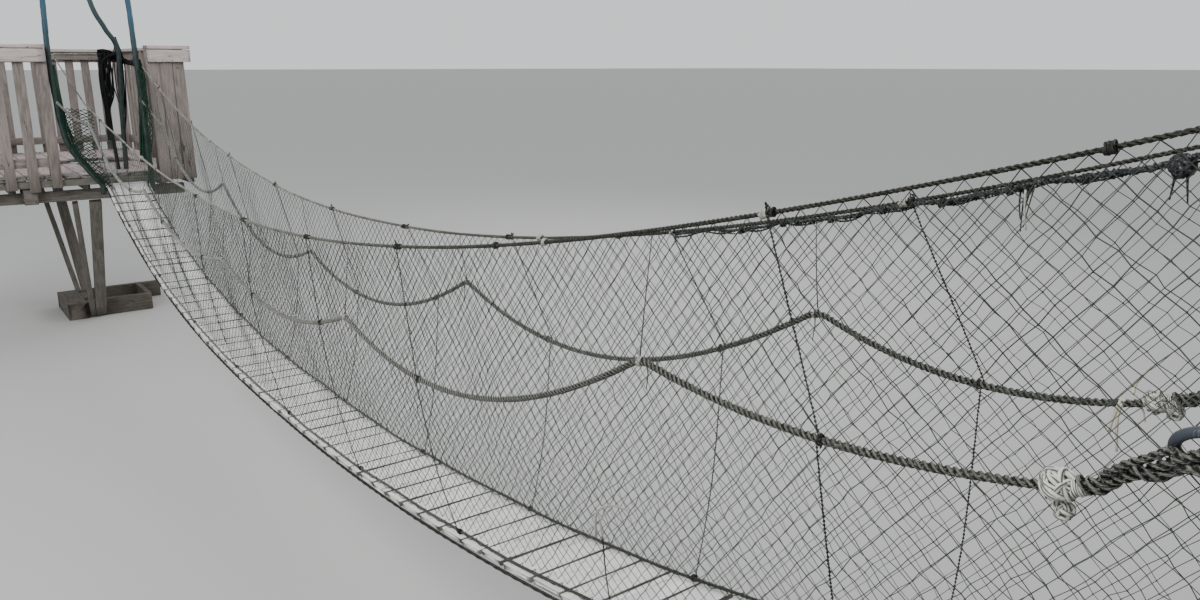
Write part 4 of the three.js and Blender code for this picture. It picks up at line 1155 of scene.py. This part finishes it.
def makeBundles(end, flip, shift):
    # strands side by side, each wandering a little: middle + across * width + sines of the length
    for index, (name, (points, widths, count, radius, material)) in enumerate(gateBundles.items()):
        middle = smoothPath(points, 50)
        along = np.linspace(0, 1, 50)
        width = np.interp(along, np.linspace(0, 1, len(widths)), widths)
        forward = np.gradient(middle, axis=0)
        beside = unit(np.stack([0 * along, forward[:, 2], -forward[:, 1]], -1))
        shapes = []
        for strand, across in enumerate(np.linspace(-1, 1, count)):
            phase = 2.4 * strand + index
            sideways = across * width + 0.14 * width * np.sin(9 * along + phase)
            fore = 0.3 * width * np.sin(7 * along + 1.7 * phase) - 0.006
            path = middle + beside * sideways[:, None] + np.stack([fore, 0 * fore, 0 * fore], -1)
            own = radius * (0.8 + 0.4 * ((strand * 0.37) % 1))
            shapes.append(tubeShape(path * flip + shift, own, 7, up=(1, 0.2, 0.1)))
        putPiece(end + name, shapes, material)


def makeTimber(end, mirrored):
    edge, left, right = platformValues["edge"], platformValues["left"], platformValues["right"]
    back, trunkX = edge - platformValues["depth"], -trunkPlace["behind"]

    # floor boards run from front to back; those over the trunk's hole are cut in two
    boards = []
    for low, high in spread(-left, right, *platformValues["floorRow"]):
        near = min(abs(low), abs(high)) if low * high > 0 else 0
        half = math.sqrt(max(platformValues["hole"]**2 - near**2, 0))
        pieces = [(back, trunkX - half), (trunkX + half, edge)] if half else [(back, edge)]
        under, over = platformValues["floorZ"]
        boards += [[[a, low, under], [b, high, over]] for a, b in pieces]
    floor = boxBoards(boards, 0, mirrored, stations=9)
    putPiece(f"{end}FloorBoards", floor, "floorWood", [f"{end}_platform_floor"])

    (bottom, top), beam = platformValues["frameZ"], platformValues["beam"]
    headerBottom, (headerLeft, headerRight) = bottom - platformValues["headerDepth"], platformValues["headerY"]
    across = [[[x, -left, platformValues["beamLow"]], [x + beam, right, top]] for x in (edge - beam, back)]
    across += [
        [[x, headerLeft, headerBottom], [x + beam, headerRight, bottom - 0.0005]] for x in (edge - 0.16, back + 0.1)
    ]
    across += [platformValues["block"]]
    joists = [
        [[back + beam + 0.0005, y, bottom + 0.001], [edge - beam - 0.0005, y + beam, top - 0.001]]
        for y in (-left, *platformValues["innerJoists"], right - beam)
    ]
    framing = [boxBoards(across, 1, mirrored, stations=16), boxBoards(joists, 0, mirrored, stations=16)]
    putPiece(f"{end}PlatformFrame", framing, "frameWood", [f"{end}_platform_frame"])

    low, high = collarValues["z"]
    for name, timbers in (
        ("CollarFrontBeam", (("front", 1, 12), ("pad", 1, 7))),
        ("CollarRearYoke", (("rear", 1, 12), ("sides", 0, 12))),
    ):
        shapes = []
        for key, axis, stations in timbers:
            boxes = [[[x0, y0, low], [x1, y1, high]] for x0, x1, y0, y1 in collarValues[key]]
            shapes.append(boxBoards(boxes, axis, mirrored, stations=stations))
        putPiece(f"{end}{name}", shapes, "collarWood", [nodeName(end, name)])


def makeStruts(end, flip, shift):
    footZ, headZ = strutValues["z"]
    for name, (footX, headX) in strutValues["runs"].items():
        away = math.copysign(strutValues["clear"], headX - footX)
        shapes = []
        for width, foot, head in strutValues["boards"]:
            low = np.array([footX + away, foot, footZ]) * flip + shift
            high = np.array([headX - away * 1.5, head, headZ]) * flip + shift
            along = unit(high - low)
            size = [np.linalg.norm(high - low), width, strutValues["thickness"]]
            shapes.append(boardShapes((low + high) / 2, along, np.cross(along, (0, 1, 0)), size, 14))
        putPiece(f"{end}{name}", shapes, "frameWood", [nodeName(end, name)])


gateTubes = {  # tubes in the far gate: radius, direction across, points, material and path
    "Stay": (0.0235, (0.3, 1, 0), 120, "stayHose", [
        [-0.4, 0.075, 0.111], [-0.4, 0.1, 0.7], [-0.4, 0.128, 1.28], [-0.42, 0.04, 1.5], [-0.5, -0.05, 1.76],
        [-0.9, -0.09, 2.45], [-1.254, -0.06, 3.0],
    ]),
    "Strap": (0.0185, (1, 0.1, 0), 80, "blackStrap", [
        [-0.404, 0.005, 0.111], [-0.404, -0.025, 0.7], [-0.404, -0.03, 1.15], [-0.402, 0.12, 1.265],
    ]),
}


def makePlatform(end, mirrored):
    flip, shift = np.array([-1 if mirrored else 1, 1, 1]), np.array([span if mirrored else 0, 0, 0])
    makeRailings(end, mirrored)
    makeTimber(end, mirrored)
    makeStruts(end, flip, shift)
    for name, side in bothSides:
        path, at = alongPath(slingPath(side) * flip + shift, 0.02)
        radii = slings["radius"] * (1 + 0.03 * np.sin(at * 31) + 0.02 * np.sin(at * 77 + 1))[:, None]
        hose = tubeShape(path, radii, 16, up=(0.3, 1, 0))
        putPiece(f"{end}{name.title()}SlingHose", hose, "hoseSleeve", [f"{end}_{name}_sling_hose"])
    makeBundles(end, flip, shift)
    centre = np.array([-trunkPlace["behind"], 0, 0]) * flip + shift
    angle = np.linspace(0, 2 * np.pi, 180)

    def ringPath(radius, z):
        return centre + np.stack([radius * np.cos(angle), radius * np.sin(angle), np.full_like(angle, z)], -1)

    ring = tubeShape(ringPath(slings["ring"], slings["ringZ"]), slings["ringThick"], 14)
    putPiece(f"{end}SlingRing", ring, "hoseSleeve", [f"{end}_sling_ring"])
    for name, (radius, up, count, material, points) in gateTubes.items():
        tube = tubeShape(smoothPath(points, count) * flip + shift, radius, 12, up=up)
        putPiece(f"{end}{name}", tube, material)
    wrapPath = ringPath(trunkPlace["wrapRing"], trunkPlace["nearWrapZ" if mirrored else "farWrapZ"])
    wrap = ropeShape(wrapPath, trunkPlace["wrapRope"], step=0.008)
    putPiece(f"{end}HandrailWrap", wrap, "handrailRope", [f"{end}_handrail_wrap"])


makePlatform("far", False)
makePlatform("near", True)
print("platforms made")

stageValues = {  # lights: place, aim, size and power
    "floorZ": -0.092, "reach": 600, "floorColour": (0.44, 0.44, 0.43), "sky": (0.94, 0.96, 0.98), "skyStrength": 0.95,
    "lights": {"keyLight": ((9, -7, 9), (6, 0, 1), 6, 1020), "fillLight": ((1, 8, 8), (4, 0, 1), 7, 400)},
}


def makeStage():
    floorMesh = bpy.data.meshes.new("studioFloor")
    reach, z = stageValues["reach"], stageValues["floorZ"]
    corners = [(-reach, -reach, z), (reach, -reach, z), (reach, reach, z), (-reach, reach, z)]
    floorMesh.from_pydata(corners, [], [(0, 1, 2, 3)])
    shader = newMaterial("studioFloor", 0.9).shader
    shader.inputs["Base Color"].default_value = (*stageValues["floorColour"], 1)
    floorMesh.materials.append(bpy.data.materials["studioFloor"])
    floorObject = bpy.data.objects.new("studioFloor", floorMesh)
    bpy.context.scene.collection.objects.link(floorObject)
    floorObject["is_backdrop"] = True
    world = bpy.data.worlds.new("studioWorld")
    world.use_nodes = True
    background = world.node_tree.nodes["Background"].inputs
    background[0].default_value = (*stageValues["sky"], 1)
    background[1].default_value = stageValues["skyStrength"]
    bpy.context.scene.world = world
    for name, (at, aim, size, power) in stageValues["lights"].items():
        data = bpy.data.lights.new(name, "AREA")
        data.size, data.energy = size, power
        light = bpy.data.objects.new(name, data)
        light.location = at
        light.rotation_euler = (Vector(aim) - Vector(at)).to_track_quat("-Z", "Y").to_euler()
        bpy.context.scene.collection.objects.link(light)


makeStage()
[list(map(float, corner)) for corner in cadBox]
[list(map(float, corner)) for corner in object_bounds()]
